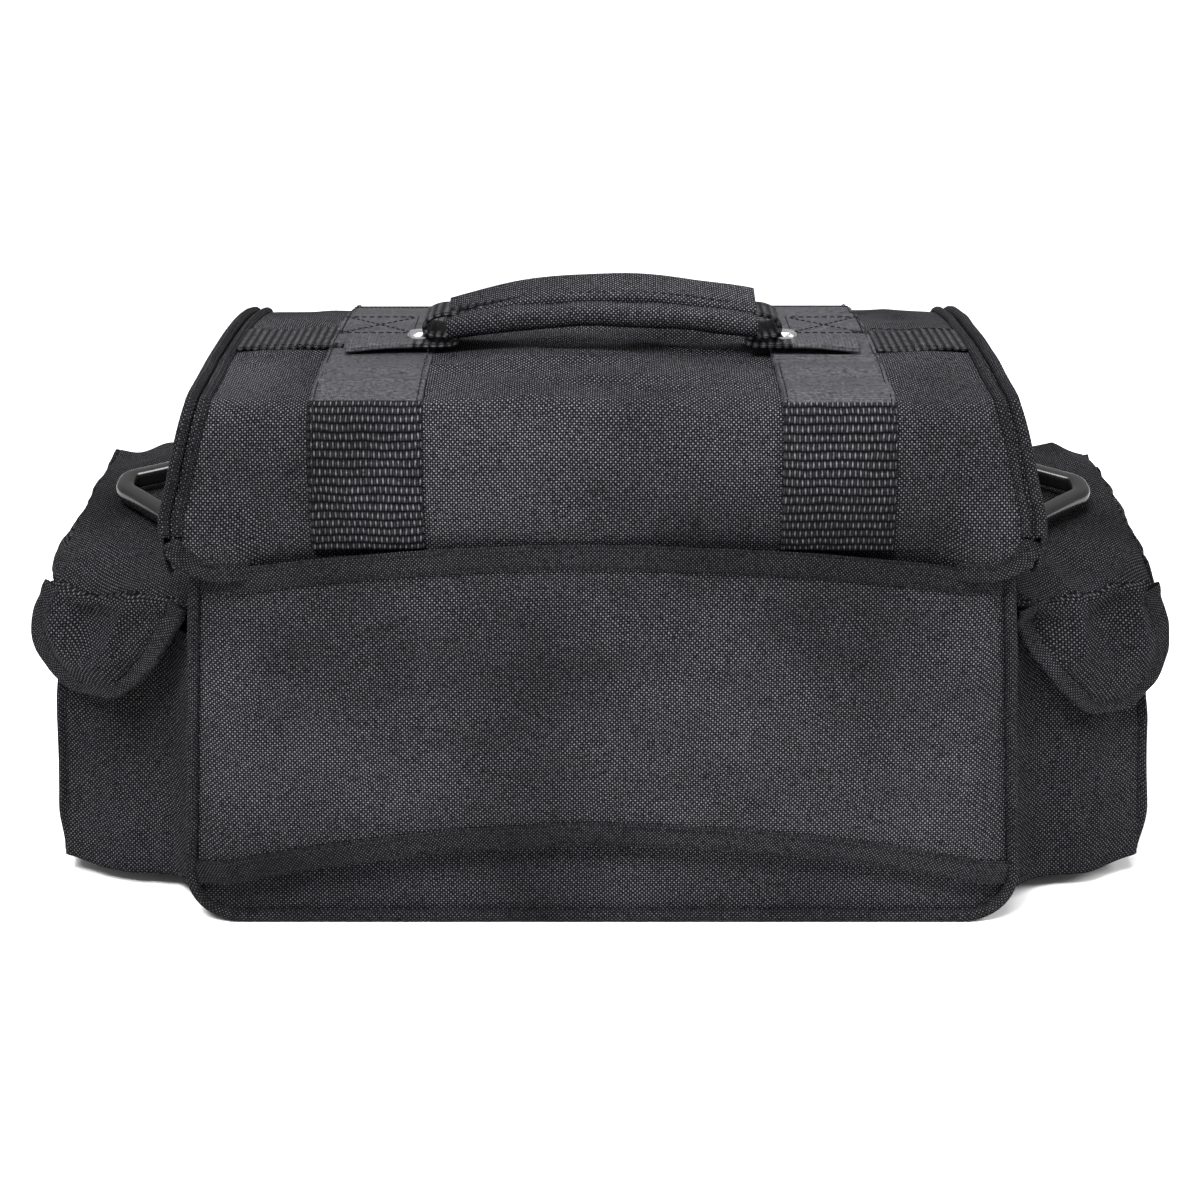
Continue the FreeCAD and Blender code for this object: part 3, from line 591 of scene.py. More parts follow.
def resample_like(values, path):
    """Directions given along another sampling of the same path."""
    return between(np.linspace(0, 1, len(path)), np.linspace(0, 1, len(values)), values)


def place(piece, body, slot, *replaced):
    """Let a piece stand for CAD nodes and ride a body; slot is not used.

    body is a body's name, or a function that is called on the piece in place of attaching it.
    """
    if callable(body):
        body(piece)
    else:
        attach(piece, body)
    if replaced:
        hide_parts(*replaced)


def padded(piece, node, body="bag"):
    place(piece, body, "lining_foam", node)


def smooth_step(value):
    value = np.clip(value, 0, 1)
    return value * value * (3 - 2 * value)


# ---------------------------------------------------------------- camera, light and floor

def make_camera():
    data = bpy.data.cameras.new("camera")
    data.lens = 66
    data.sensor_width = 36
    camera = bpy.data.objects.new("camera", data)
    bpy.context.scene.collection.objects.link(camera)
    target = Vector((-0.001, 0, 0.1205))
    camera.location = target + Vector((0, -1.043, 0.3796))
    camera.rotation_euler = (target - camera.location).to_track_quat("-Z", "Y").to_euler()
    bpy.context.scene.camera = camera


def area_light(name, place_at, size, power):
    data = bpy.data.lights.new(name, "AREA")
    data.energy = power
    data.size = size
    light = bpy.data.objects.new(name, data)
    light.location = place_at
    aim = Vector((0, 0, 0.12)) - Vector(place_at)
    light.rotation_euler = aim.to_track_quat("-Z", "Y").to_euler()
    bpy.context.scene.collection.objects.link(light)


def make_stage():
    world = bpy.data.worlds.new("studio")
    world.use_nodes = True
    world.node_tree.nodes["Background"].inputs["Color"].default_value = (1, 1, 1, 1)
    world.node_tree.nodes["Background"].inputs["Strength"].default_value = 0.42
    bpy.context.scene.world = world
    bpy.context.scene.view_settings.view_transform = "Standard"
    area_light("top_light", (0.1, 0.3, 1.7), 0.8, 22)
    area_light("key_light", (-0.4, -1.1, 1.35), 0.4, 28)
    area_light("right_light", (1.6, -0.6, 1.2), 0.6, 22)
    data = bpy.data.lights.new("soft_sun", "SUN")
    data.energy = 2.9
    data.angle = math.radians(30)
    sun = bpy.data.objects.new("soft_sun", data)
    sun.rotation_euler = Vector((0.25, 0.75, -1.3)).to_track_quat("-Z", "Y").to_euler()
    bpy.context.scene.collection.objects.link(sun)
    reach = 60.0
    corners = np.array([[[-reach, -reach, 0], [reach, -reach, 0]],
                        [[-reach, reach, 0], [reach, reach, 0]]], float)
    floor = grid("floor", corners, pale_floor("floor_white"), inside=(0, 0, -1))


# ---------------------------------------------------------------- hood of the lid

HOOD_LOW = low("lid_skirt_right")[2]
HOOD_MID = 204 * MM
HOOD_CORNER = high("lid_skirt_right")[2]
HOOD_CROWN = high("lid_cover")[2]
HOOD_BACK = low("lid_cover")[1]
HOOD_FRONT = high("lid_cover")[1]
WIDE_LOW = high("lid_skirt_right")[0] - 3 * MM
WIDE_MID = high("lid_cover")[0]
WIDE_TOP = WIDE_MID - 11.5 * MM
TUCK = 175 * MM
BACK_CORNER = 22 * MM
FRONT_CORNER = 14 * MM


def hood_half(z):
    """Half length of the hood: it flares below its top and closes in again at its hem."""
    return np.interp(z, [TUCK, HOOD_MID, HOOD_CORNER, HOOD_CROWN],
                     [WIDE_LOW, WIDE_MID, WIDE_TOP, WIDE_TOP])


def hood_line():
    """Section of the hood across the bag: back hem, back wall, crown, front wall, front hem."""
    back, front = HOOD_BACK, HOOD_FRONT
    points = [(back + 2 * MM, TUCK), (back - 1 * MM, TUCK + 8 * MM),
              (back - 3.5 * MM, TUCK + 18 * MM), (back - 5 * MM, HOOD_MID + 2 * MM),
              (back - 4 * MM, HOOD_MID + 22 * MM), (back - 0.5 * MM, HOOD_CORNER - 9 * MM),
              (back + 4 * MM, HOOD_CORNER - 1.5 * MM), (back + 11 * MM, HOOD_CORNER + 2 * MM),
              (back + 32 * MM, HOOD_CORNER + 2.5 * MM), (-50 * MM, HOOD_CROWN - 3 * MM),
              (0, HOOD_CROWN - 1.5 * MM), (50 * MM, HOOD_CROWN - 3 * MM),
              (front - 24 * MM, HOOD_CORNER - 1.5 * MM), (front - 8 * MM, HOOD_CORNER - 8 * MM),
              (front + 1 * MM, HOOD_MID + 24 * MM), (front + 2 * MM, HOOD_MID),
              (front, HOOD_LOW)]
    return resample(soften(points, 2), 1.5 * MM)


HOOD = hood_line()
HOOD_ALONG = lengths(HOOD) / lengths(HOOD)[-1]
HOOD_LENGTH = lengths(HOOD)[-1]


def hood_height(t):
    return np.interp(t, HOOD_ALONG, HOOD[:, 1])


def hood_at(x, t, lift=0.0):
    """Points of the hood at places x along the bag and t along its section, from 0 to 1."""
    x, t = np.broadcast_arrays(np.asarray(x, float), np.asarray(t, float))
    y = np.interp(t, HOOD_ALONG, HOOD[:, 0])
    z = hood_height(t)
    step = 0.004
    dy = np.interp(t + step, HOOD_ALONG, HOOD[:, 0]) - np.interp(t - step, HOOD_ALONG, HOOD[:, 0])
    dz = hood_height(t + step) - hood_height(t - step)
    size = np.maximum(np.hypot(dy, dz), 1e-9)
    out_y, out_z = -dz / size, dy / size
    reach = np.abs(x) / hood_half(z)
    belt = np.exp(-((np.abs(x) - STRAP_X) / (30 * MM)) ** 2)
    body = np.sin(math.pi * np.clip(t, 0, 1)) ** 0.5
    puff = body * (2.6 * MM - 3.0 * MM * reach ** 8 - 1.8 * MM * belt)
    places = joined(x, y, z)
    wall = smooth_step((HOOD_CORNER - z) / (40 * MM))
    crumple = ruffle(places, 3.4 * MM, 60 * MM, 4.0) + ruffle(places, 1.4 * MM, 22 * MM, 9.0)
    pinch = creases(places * [1, 1, 1.6], 4.5 * MM, 34 * MM, 5.0) * smooth_step(reach * 2 - 1)
    pull = creases(places * [0.3, 1.4, 1], 4.5 * MM, 24 * MM, 7.0) * (1 - wall) * (1 - reach)
    puff = puff + ((crumple + pinch) * (0.6 + 0.5 * wall) + pull) * body * (1 - reach ** 6)
    puff = puff + lift
    corner = smooth_step((np.abs(x) - 147 * MM) / (18 * MM)) * smooth_step((0.15 - t) * 20)
    places = places + joined(0, out_y, out_z) * puff[..., None]
    places[..., 1] -= 11 * MM * corner * smooth_step((HOOD_MID + 14 * MM - z) / (30 * MM))
    return places


STRAP_X = (low("lid_webbing_right")[0] + high("lid_webbing_right")[0]) / 2
STRAP_WIDE = high("lid_webbing_right")[0] - low("lid_webbing_right")[0]


def hood_normals(points):
    """Outward directions along a line over the hood."""
    tangent = tangents(points)
    return unit(joined(0, -tangent[:, 2], tangent[:, 1]))


def hood_hem(reach, corner):
    """How far up the section the hem starts, with its corner rounded towards the ends."""
    past = np.clip((reach * WIDE_LOW - (WIDE_LOW - corner)) / corner, 0, 1)
    return corner * (1 - np.sqrt(1 - past ** 2)) / HOOD_LENGTH


def make_hood():
    u = np.linspace(-1, 1, 121)
    u = np.sign(u) * np.abs(u) ** 0.9
    start = hood_hem(np.abs(u), BACK_CORNER)
    end = 1 - hood_hem(np.abs(u), FRONT_CORNER)
    share = np.linspace(0, 1, 111)[:, None]
    t = start + (end - start) * share
    x = u[None, :] * hood_half(hood_height(t))
    points = hood_at(x, t)
    uv = joined(x, t * HOOD_LENGTH)
    shell = grid("hood", points, CLOTH, uv, thick=1.4 * MM)
    place(shell, blend_lid, "shell_fabric", "lid_cover")
    for word, side in SIDES.items():
        make_hood_corner(word, side)
    inner = hood_at(x[:, 8:-8] * 0.965, t[:, 8:-8] * 0.86 + 0.09, -2.2 * MM)
    pad = grid("hood_padding", inner, LINING, thick=6 * MM)
    padded(pad, "lid_foam", "lid")


def make_hood_corner(word, side):
    """Binding round each rounded corner of the back hem, outside the sleeve."""
    turn = np.linspace(0.0, 1.0, 40)
    reach = (WIDE_LOW - 34 * MM + 33 * MM * np.sin(turn * math.pi / 2)) / WIDE_LOW
    t = hood_hem(reach, BACK_CORNER) + 4.4 * MM / HOOD_LENGTH
    x = side * reach * hood_half(hood_height(t))
    path = hood_at(x, t, 0.7 * MM)
    made = strap(f"hood_corner_binding_{word}", path, (0, -1, 0.1), EDGE_TAPE, 1.8 * MM, TAPE)
    place(made, blend_lid, "binding_tape")
    line = hood_at(x, t + 4.0 * MM / HOOD_LENGTH, 1.6 * MM)
    stitches(f"hood_corner_stitches_{word}", [(line, np.array([0, -1.0, 0.1]))], blend_lid)


def blend_lid(piece):
    """Bakes the piece's place into its mesh; the cloth is neither held to the body nor bent into the lid.
    """
    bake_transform(piece)


def hood_end_curve(inset=0.0, lift=0.0):
    """The line where the hood meets its end panel, on the +X side."""
    t = np.linspace(0.06, 0.985, 150)
    return hood_at(hood_half(hood_height(t)) - inset, t, lift)


def make_end_rolls(word, side):
    """Two parallel rolls of piping along each end of the hood."""
    flip = np.array([side, 1, 1])
    for label, inset, lift, radius in (("outer", -1.2 * MM, 1.2 * MM, 2.7 * MM),
                                       ("inner", 5.2 * MM, 0.5 * MM, 2.4 * MM)):
        path = resample(hood_end_curve(inset, lift), 2.5 * MM) * flip
        path = path + ruffle(path, 0.5 * MM, 30 * MM, side)[:, None]
        roll = tube(f"hood_roll_{label}_{word}", path, radius, CORD_CLOTH, up=(side, 0, 0.2))
        stands_for = [f"lid_piping_{word}"] if label == "outer" else []
        place(roll, blend_lid, "piping", *stands_for)


def skirt_rim():
    """Outline of the hood's end in (y, z): over the hood and back along a hem with round corners."""
    over = hood_end_curve(0, -0.5 * MM)[:, 1:]
    back, front = over[0], over[-1]
    hem = HOOD_LOW - 3 * MM
    drop = FRONT_CORNER
    lower = soften([front, (front[0] - 0.5 * MM, hem + drop * 0.3), (front[0] - drop, hem),
                    (0, hem - 1.5 * MM), (back[0] + drop * 1.3, hem),
                    (back[0] + 2 * MM, hem + drop * 0.3), back], 3)
    return np.vstack([over, lower[1:-1]]), lower


def skirt_point(flat, lift=0.0):
    """A point of the +X end panel from its (y, z)."""
    y, z = flat[..., 0], flat[..., 1]
    return joined(hood_half(z) + 0.6 * MM + lift, y, z)


def make_skirt(word, side):
    flip = np.array([side, 1, 1])
    rim, lower = skirt_rim()
    centre = rim.mean(axis=0)
    rings = np.linspace(0.001, 1, 22)[:, None, None]
    flat = centre + (np.vstack([rim, rim[:1]]) - centre)[None] * rings
    points = skirt_point(flat)
    swell = (1 - rings[..., 0] ** 4) * 1.5 * MM
    points[..., 0] += swell + ruffle(points, 1.2 * MM, 45 * MM, side + 5)
    made = grid(f"hood_end_{word}", points * flip, CLOTH, uv=flat, thick=1.3 * MM)
    place(made, blend_skirt, "shell_fabric", f"lid_skirt_{word}")
    hem = skirt_point(lower, 1.6 * MM) * flip
    hem = hem + np.array([0, 0, 3.5 * MM])
    band = strap(f"hood_end_binding_{word}", hem, (side, 0, 0), EDGE_TAPE, 1.4 * MM, TAPE)
    place(band, blend_skirt, "binding_tape")


def blend_skirt(piece):
    """Bakes the piece's place into its mesh; no corner of it is held to the body."""
    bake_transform(piece)


# ---------------------------------------------------------------- straps on the lid

def smooth_part(made, chosen):
    """The strap's other face shows wherever the webbing turns over."""
    made.data.materials.append(TWILL)
    for polygon in made.data.polygons:
        polygon.material_index = int(chosen(polygon.center))


def make_lid_strap(word, side):
    t = np.linspace(0.035, 0.985, 200)
    x = np.full_like(t, side * STRAP_X)
    path = hood_at(x, t, 1.6 * MM)
    made = sweep(f"lid_strap_{word}", path, *frames(path, hood_normals(path)),
                 flat_section(STRAP_WIDE, 2.0 * MM, 14), WEBBING)
    smooth_part(made, lambda spot: spot.z > HOOD_CORNER + 2.5 * MM)
    place(made, blend_lid, "webbing", f"lid_webbing_{word}")
    rows = []
    for end in (-1, 1):
        line = hood_at(x + end * (STRAP_WIDE / 2 - 2.2 * MM), t, 2.8 * MM)[10:-6]
        rows.append((line, hood_normals(line)))
    stitches(f"lid_strap_stitches_{word}", rows, blend_lid)


def t_at(y):
    """Place along the section where the top of the hood is at a depth y."""
    half = len(HOOD) // 5
    return np.interp(y, HOOD[half:-half, 0], HOOD_ALONG[half:-half])


def make_cross_strap(word, side):
    """Ribbed band from the lid strap out to the end piping."""
    lowest, highest = low(f"cross_webbing_{word}"), high(f"cross_webbing_{word}")
    y = (lowest[1] + highest[1]) / 2
    wide = highest[1] - lowest[1]
    x = np.linspace(STRAP_X + 18 * MM, WIDE_TOP - 5 * MM, 40)
    path = hood_at(x * side, t_at(y), 1.0 * MM)
    made = sweep(f"cross_strap_{word}", path, *frames(path, (0, 0, 1)),
                 flat_section(wide, 1.8 * MM, 12), CROSS)
    place(made, "lid", "webbing", f"cross_webbing_{word}")
    outer = STRAP_X + 19 * MM
    inner = STRAP_X - 15 * MM
    corners = [(inner, y - wide * 0.42), (outer, y - wide * 0.42), (outer, y + wide * 0.42),
               (inner, y + wide * 0.42)]
    order = [0, 1, 2, 3, 0, 2, 1, 3]
    rows = []
    for line in spans(corners, order, 12):
        spots = hood_at(line[:, 0] * side, t_at(line[:, 1]), 0)
        spots[:, 2] = high("handle_leg_right")[2] - 5.0 * MM + 1.55 * MM
        rows.append((spots, np.array([0, 0, 1.0])))
    x = np.linspace(STRAP_X + 28 * MM, WIDE_TOP - 8 * MM, 12)
    for s in (-1, 1):
        line = hood_at(x * side, t_at(y + s * wide * 0.44), 2.1 * MM)
        rows.append((line, np.array([0, 0, 1.0])))
    stitches(f"box_stitch_{word}", rows, "lid")


# ---------------------------------------------------------------- handle

GRIP_HALF = high("handle_grip")[0]
GRIP_LOW = low("handle_grip")[2]
GRIP_HIGH = high("handle_grip")[2]
GRIP_Y = (low("handle_grip")[1] + high("handle_grip")[1]) / 2
GRIP_WIDE = high("handle_grip")[1] - low("handle_grip")[1]


def grip_path(x, y, base, arch):
    rise = arch * (1 - (x / GRIP_HALF) ** 2)
    return joined(x, y, base + rise)


def make_handle():
    x = np.linspace(-GRIP_HALF, GRIP_HALF, 90)
    slope = 2.0 * MM * x / GRIP_HALF
    band = grip_path(x, GRIP_Y + 4.5 * MM, GRIP_LOW + 10.5 * MM, 9.5 * MM)
    band[:, 2] += slope + ruffle(band, 1.2 * MM, 34 * MM, 1.0)
    lean = math.radians(14)
    turn = np.array([[math.cos(lean), math.sin(lean)], [-math.sin(lean), math.cos(lean)]])
    section = oval(25 * MM, 8.0 * MM, 30, 4.0) @ turn
    made = sweep("grip_band", band, (0, 1, 0), (0, 0, 1), section, CLOTH)
    place(made, "handle", "shell_fabric", "handle_grip")
    roll = grip_path(x * 1.005, GRIP_Y - 9.5 * MM, GRIP_LOW + 4.8 * MM, 7.0 * MM)
    roll[:, 1] += ruffle(roll, 1.4 * MM, 34 * MM, 3.0)
    roll[:, 2] += 0.4 * slope + ruffle(roll, 1.2 * MM, 28 * MM, 8.0)
    tall = 11.0 * MM + ruffle(roll, 1.8 * MM, 26 * MM, 6.0)
    sizes = oval(1.0, 1.0, 26, 2.3)[None] * joined(15 * MM, tall)[:, None]
    made = sweep("grip_wrap", roll, (0, 1, 0), (0, 0, 1), sizes, CLOTH)
    place(made, "handle", "shell_fabric")
    core = grip_path(np.linspace(-GRIP_HALF, GRIP_HALF, 30) * 0.98, GRIP_Y + 4.5 * MM,
                     GRIP_LOW + 10.5 * MM, 9.5 * MM)
    made = sweep("grip_core", core, (0, 1, 0), (0, 0, 1), flat_section(20 * MM, 2.4 * MM), WEBBING)
    place(made, "handle", "webbing", "handle_core")
    line = grip_path(x * 0.97, GRIP_Y - 5.5 * MM, GRIP_LOW + 11.6 * MM, 9.5 * MM)
    line[:, 2] += slope * 0.97
    stitches("grip_stitches", [(line, np.array([0, -0.5, 1.0]))], "handle")


def make_leg(word, side):
    """Webbing leg: flat under the rivet, folded inwards, then curling up into the grip's end."""
    level = high("lid_webbing_right")[2] + 1.6 * MM
    rivet = low("handle_rivets")[2] - 1.1 * MM
    outer = high("handle_leg_right")[0]
    points = [(outer, level), (outer - 14 * MM, level + 0.4 * MM), (GRIP_HALF + 16 * MM, rivet),
              (GRIP_HALF + 2 * MM, rivet), (GRIP_HALF - 4.5 * MM, rivet + 0.6 * MM),
              (GRIP_HALF - 4 * MM, rivet + 4.5 * MM), (GRIP_HALF + 4 * MM, rivet + 4 * MM),
              (GRIP_HALF + 11 * MM, rivet + 5 * MM), (GRIP_HALF + 11 * MM, rivet + 11 * MM),
              (GRIP_HALF + 3 * MM, GRIP_LOW + 11.5 * MM), (GRIP_HALF - 6 * MM, GRIP_LOW + 10.5 * MM),
              (GRIP_HALF - 12 * MM, GRIP_LOW + 10.6 * MM)]
    line = soften(points, 3)
    path = joined(line[:, 0] * side, GRIP_Y, line[:, 1])
    path = resample(path, 1.0 * MM)
    share = np.linspace(0, 1, len(path))
    path[:, 1] += 3 * MM * share
    tangent = tangents(path)
    normal = joined(-tangent[:, 2], 0, tangent[:, 0])
    if normal[0, 2] < 0:
        normal = -normal
    width = GRIP_WIDE * (0.97 - 0.27 * smooth_step(share * 2 - 1))
    section = flat_section(1.0, 0.06, 12)[None] * joined(width, 2.1 * MM / 0.06)[:, None]
    off_centre = section[..., 0] / (width[:, None] / 2)
    section[..., 1] -= 2.4 * MM * off_centre ** 2 * (1 - smooth_step(share * 3))[:, None]
    made = sweep(f"handle_leg_webbing_{word}", path, (0, 1, 0), normal, section, CROSS)
    smooth_part(made, lambda spot: abs(spot.x) > GRIP_HALF + 17 * MM)

    def blend_leg(piece):
        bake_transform(piece)

    place(made, blend_leg, "webbing", f"handle_leg_{word}")


# ---------------------------------------------------------------- body shell

def outline_half(z):
    """Half length of the body's rounded outline at a height."""
    z = np.asarray(z, float)
    fall = np.clip(CORNER - z, 0, CORNER)
    return edge(z) - (CORNER - np.sqrt(CORNER ** 2 - fall ** 2))


def body_outline(step=3 * MM, inset=0.0, top=190 * MM):
    """The body's outline in (x, z), from the upper left down round the foot to the upper right."""
    lean = math.atan2(BASE_HALF - TOP_HALF, WALL_TOP)
    bend = CORNER - inset
    turn = np.linspace(0, math.pi / 2 + lean, 14)
    centre_x = edge(CORNER) - CORNER / math.cos(lean)
    arc = joined(centre_x + bend * np.sin(turn), CORNER - bend * np.cos(turn))
    rise = np.array([[edge(top) - inset, top]])
    right = np.vstack([[[0, inset]], arc, rise])
    left = right[::-1] * [-1, 1]
    return resample(np.vstack([left[:-1], right]), step)


def make_face(name, y, out, nodes, top):
    """Back or front panel: slightly full, with the body's rounded lower corners."""
    z = np.concatenate([CORNER * (1 - np.cos(np.linspace(0, math.pi / 2, 9)))[:-1],
                        np.linspace(CORNER, top, 50)])
    u = np.linspace(-1, 1, 90)
    half = outline_half(np.maximum(z, 0.3 * MM))
    x = u[None, :] * half[:, None]
    fullness = (1 - u[None, :] ** 4) * np.sin(math.pi * np.clip(z / top, 0, 1))[:, None]
    points = joined(x, y, z[:, None])
    points[..., 1] += out * (fullness * 1.6 * MM + ruffle(points, 0.8 * MM, 60 * MM, out))
    made = grid(name, points, CLOTH, joined(x, z[:, None]), thick=1.5 * MM)
    place(made, "bag", "shell_fabric", *nodes)


def make_gusset():
    """One strip round the ends and under the base, with a gentle fullness at the ends."""
    path = body_outline(3 * MM)
    along = lengths(path)
    y = np.linspace(-DEPTH, DEPTH, 60)
    tangent = tangents(path)
    out = joined(tangent[:, 1], -tangent[:, 0])
    side_share = smooth_step((path[:, 1] - 10 * MM) / (40 * MM))
    crown = (1 - (y / DEPTH) ** 4)[None, :] * side_share[:, None] * 1.2 * MM
    x = path[:, 0][:, None] + out[:, 0][:, None] * crown
    z = path[:, 1][:, None] + out[:, 1][:, None] * crown
    points = joined(x, y, z)
    points[..., 0] += np.sign(points[..., 0]) * ruffle(points, 0.8 * MM, 50 * MM, 8.0) * side_share[:, None]
    made = grid("body_gusset", points, CLOTH, joined(y, along[:, None]), thick=1.5 * MM)
    place(made, "bag", "shell_fabric", "end_panel_left", "end_panel_right", "base_panel")


def make_body_piping(name, y, node):
    inset = 2.9 * MM
    path = body_outline(3 * MM, inset, top=186 * MM)
    line = joined(path[:, 0], y, path[:, 1])
    line[:, 0] += ruffle(line, 0.6 * MM, 40 * MM, y * 20)
    made = tube(name, line, 2.85 * MM, CORD_CLOTH, up=(0, np.sign(y), 0))
    place(made, "bag", "piping", node)


# ---------------------------------------------------------------- trolley sleeve

SLEEVE_LOW = low("back_sleeve")[2]
SLEEVE_MID_LOW = 43 * MM
SLEEVE_MID_HIGH = high("back_sleeve")[2] + 3.5 * MM
SLEEVE_HIGH = SLEEVE_MID_HIGH - 15 * MM
SLEEVE_Y = low("back_sleeve")[1]


def sleeve_half(z):
    return edge(z) - 5.2 * MM


def sleeve_edge(x, upper):
    """Height of the arched lower or upper edge."""
    share = (x / sleeve_half(SLEEVE_LOW)) ** 2
    if upper:
        return SLEEVE_MID_HIGH - (SLEEVE_MID_HIGH - SLEEVE_HIGH) * share
    return SLEEVE_MID_LOW - (SLEEVE_MID_LOW - SLEEVE_LOW) * share


def sleeve_at(u, share, lift=0.0):
    """A point of the sleeve from its places along and up the panel."""
    u, share = np.broadcast_arrays(np.asarray(u, float), np.asarray(share, float))
    z = np.full(u.shape, 0.1)
    for _ in range(3):
        x = u * sleeve_half(z)
        z = sleeve_edge(x, False) + (sleeve_edge(x, True) - sleeve_edge(x, False)) * share
    x = u * sleeve_half(z)
    inside = (1 - np.abs(u)) * sleeve_half(z)
    rise = smooth_step((inside + 2 * MM) / (20 * MM))
    base = -(DEPTH + 2.6 * MM)
    places = joined(x, 0, z)
    tension = np.sin(math.pi * (x * 0.9 + (z - 0.1) * 2.2) / (90 * MM)) * np.abs(u) ** 2
    hollow = -2.4 * MM * np.exp(-((share - 0.84 + 0.05 * u) / 0.07) ** 2) * (1 - 0.6 * u ** 2)
    drag = places @ np.array([[0.8, 0, 0.6], [0, 1, 0], [-1.6, 0, 1.2]])
    folds = (ruffle(places, 5.5 * MM, 80 * MM, 1.0) + ruffle(drag, 2.6 * MM, 34 * MM, 2.0)
             + tension * 1.6 * MM + hollow)
    calm = 0.2 + 0.8 * np.sin(math.pi * np.clip(share, 0, 1)) ** 0.7
    y = base + (SLEEVE_Y - base) * rise - (folds * calm + 1.4 * MM) * rise - lift
    return joined(x, y, z)


def make_sleeve():
    u = np.linspace(-1, 1, 130)
    share = np.linspace(0, 1, 66)[:, None]
    points = sleeve_at(u[None, :], share)
    uv = points[..., [0, 2]]
    made = grid("sleeve", points, CLOTH, uv, thick=1.3 * MM)
    place(made, "bag", "shell_fabric", "back_sleeve")
    height = 143 * MM
    band = BAND / height
    for name, node, middle in (("sleeve_tape_top", "sleeve_top_binding", 1 - band * 0.42),
                               ("sleeve_tape_bottom", "sleeve_bottom_binding", band * 0.42)):
        path = sleeve_at(u, middle, 0.6 * MM)
        made = strap(name, path, (0, -1, 0), BAND, 2.2 * MM, TAPE)
        place(made, "bag", "binding_tape", node)
        rows = [(sleeve_at(u[2:-2], middle + s * band * 0.32, 1.75 * MM), np.array([0, -1.0, 0]))
                for s in (-1, 1)]
        stitches(f"{name}_stitches", rows, "bag")


# ---------------------------------------------------------------- side pouches

POUCH_LOW = low("side_pouch_right")[2]
POUCH_HIGH = high("side_pouch_right")[2]
POUCH_OUT = high("side_pouch_right")[0]
POUCH_OUT_TOP = widest("side_pouch_right", POUCH_HIGH)
POUCH_DEEP = high("side_pouch_right")[1]


def pouch_plan(z, swell=0.0):
    """Plan of the +X pouch wall at a height: from the body out, along, and back to the body."""
    share = (z - POUCH_LOW) / (POUCH_HIGH - POUCH_LOW)
    out = POUCH_OUT + (POUCH_OUT_TOP - POUCH_OUT) * share + swell
    deep_in = POUCH_DEEP - 3 * MM * share + swell
    deep_out = POUCH_DEEP - 30 * MM - 3 * MM * share + swell
    inner = edge(z) + 0.5 * MM
    slope = (deep_in - deep_out - 2 * MM) / (out - 2 * MM - inner)
    valley = 15 * MM
    half = [(inner, -deep_in), (inner + valley, -deep_in + slope * valley + 6 * MM),
            (inner + 2.6 * valley, -deep_in + 2.6 * slope * valley - 1.5 * MM),
            (out - 2 * MM, -deep_out - 2.0 * MM), (out + 1.5 * MM, -deep_out - 1 * MM),
            (out + 1.8 * MM, -deep_out + 6 * MM), (out + 1.5 * MM, 0)]
    line = np.array(half + [(x, -y) for x, y in half[-2::-1]])
    return resample(soften(line, 2), 1.0 * MM)


def pouch_wall(rows=44, columns=110, lift=0.0, z_low=None, z_high=None, seed=0.0):
    z_low = POUCH_LOW if z_low is None else z_low
    z_high = POUCH_HIGH if z_high is None else z_high
    points = np.zeros((rows, columns, 3))
    for row, z in enumerate(np.linspace(z_low, z_high, rows)):
        share = (z - POUCH_LOW) / (POUCH_HIGH - POUCH_LOW)
        plan = pouch_plan(z, 1.0 * MM * math.sin(math.pi * min(max(share, 0), 1)) + lift)
        plan = between(np.linspace(0, len(plan) - 1, columns), np.arange(len(plan)), plan)
        points[row] = joined(plan[:, 0], plan[:, 1], z)
    around = np.linspace(0, 1, columns)[None, :]
    level = np.linspace(z_low, z_high, rows)[:, None]
    pinch = smooth_step((30 * MM - (level - POUCH_LOW)) / (30 * MM))
    corner = np.exp(-((np.minimum(around, 1 - around) - 0.26) / 0.05) ** 2)
    folds = (ruffle(points, 4.5 * MM, 44 * MM, seed)
             + creases(points * [1, 1, 0.35], 5.0 * MM, 30 * MM, seed + 4))
    ends = np.clip(np.minimum(around, 1 - around) / 0.06, 0, 1)
    push = folds * ends * (1 - 0.7 * corner) - 1.0 * MM * corner * pinch
    centre = np.array([BASE_HALF, 0])
    out = unit(points[..., :2] - centre)
    points[..., :2] += out * push[..., None]
    points[..., 2] += (pinch ** 2) * corner * 3.0 * MM * (level < POUCH_LOW + 20 * MM)
    return points


def make_pouch(word, side):
    flip = np.array([side, 1, 1])
    points = pouch_wall(seed=side * 3.0)
    along = lengths(points[20])
    uv = joined(along, points[..., 2])
    made = grid(f"pouch_wall_{word}", points * flip, SHADED_SIDE_CLOTH, uv, thick=1.6 * MM)
    place(made, "bag", "shell_fabric", f"side_pouch_{word}")
    hem = pouch_wall(2, 110, 0.9 * MM, POUCH_HIGH - 5.5 * MM, POUCH_HIGH - 5.4 * MM, side * 3.0)[0]
    out = sideways(hem)
    band = strap(f"pouch_hem_{word}", hem * flip, out * flip, POUCH_TAPE, 1.2 * MM, SHADED_SIDE_CLOTH)
    place(band, "bag", "shell_fabric")
    line = pouch_wall(2, 110, 1.9 * MM, POUCH_HIGH - 9.5 * MM, POUCH_HIGH - 9.4 * MM, side * 3.0)[0]
    rows = [(line * flip, out * flip)]
    make_pouch_floor(word, side, points)
    for label, end in (("back", -1), ("front", 1)):
        rows.append(make_fin(word, side, label, end, points))
    stitches(f"pouch_stitches_{word}", rows, "bag")


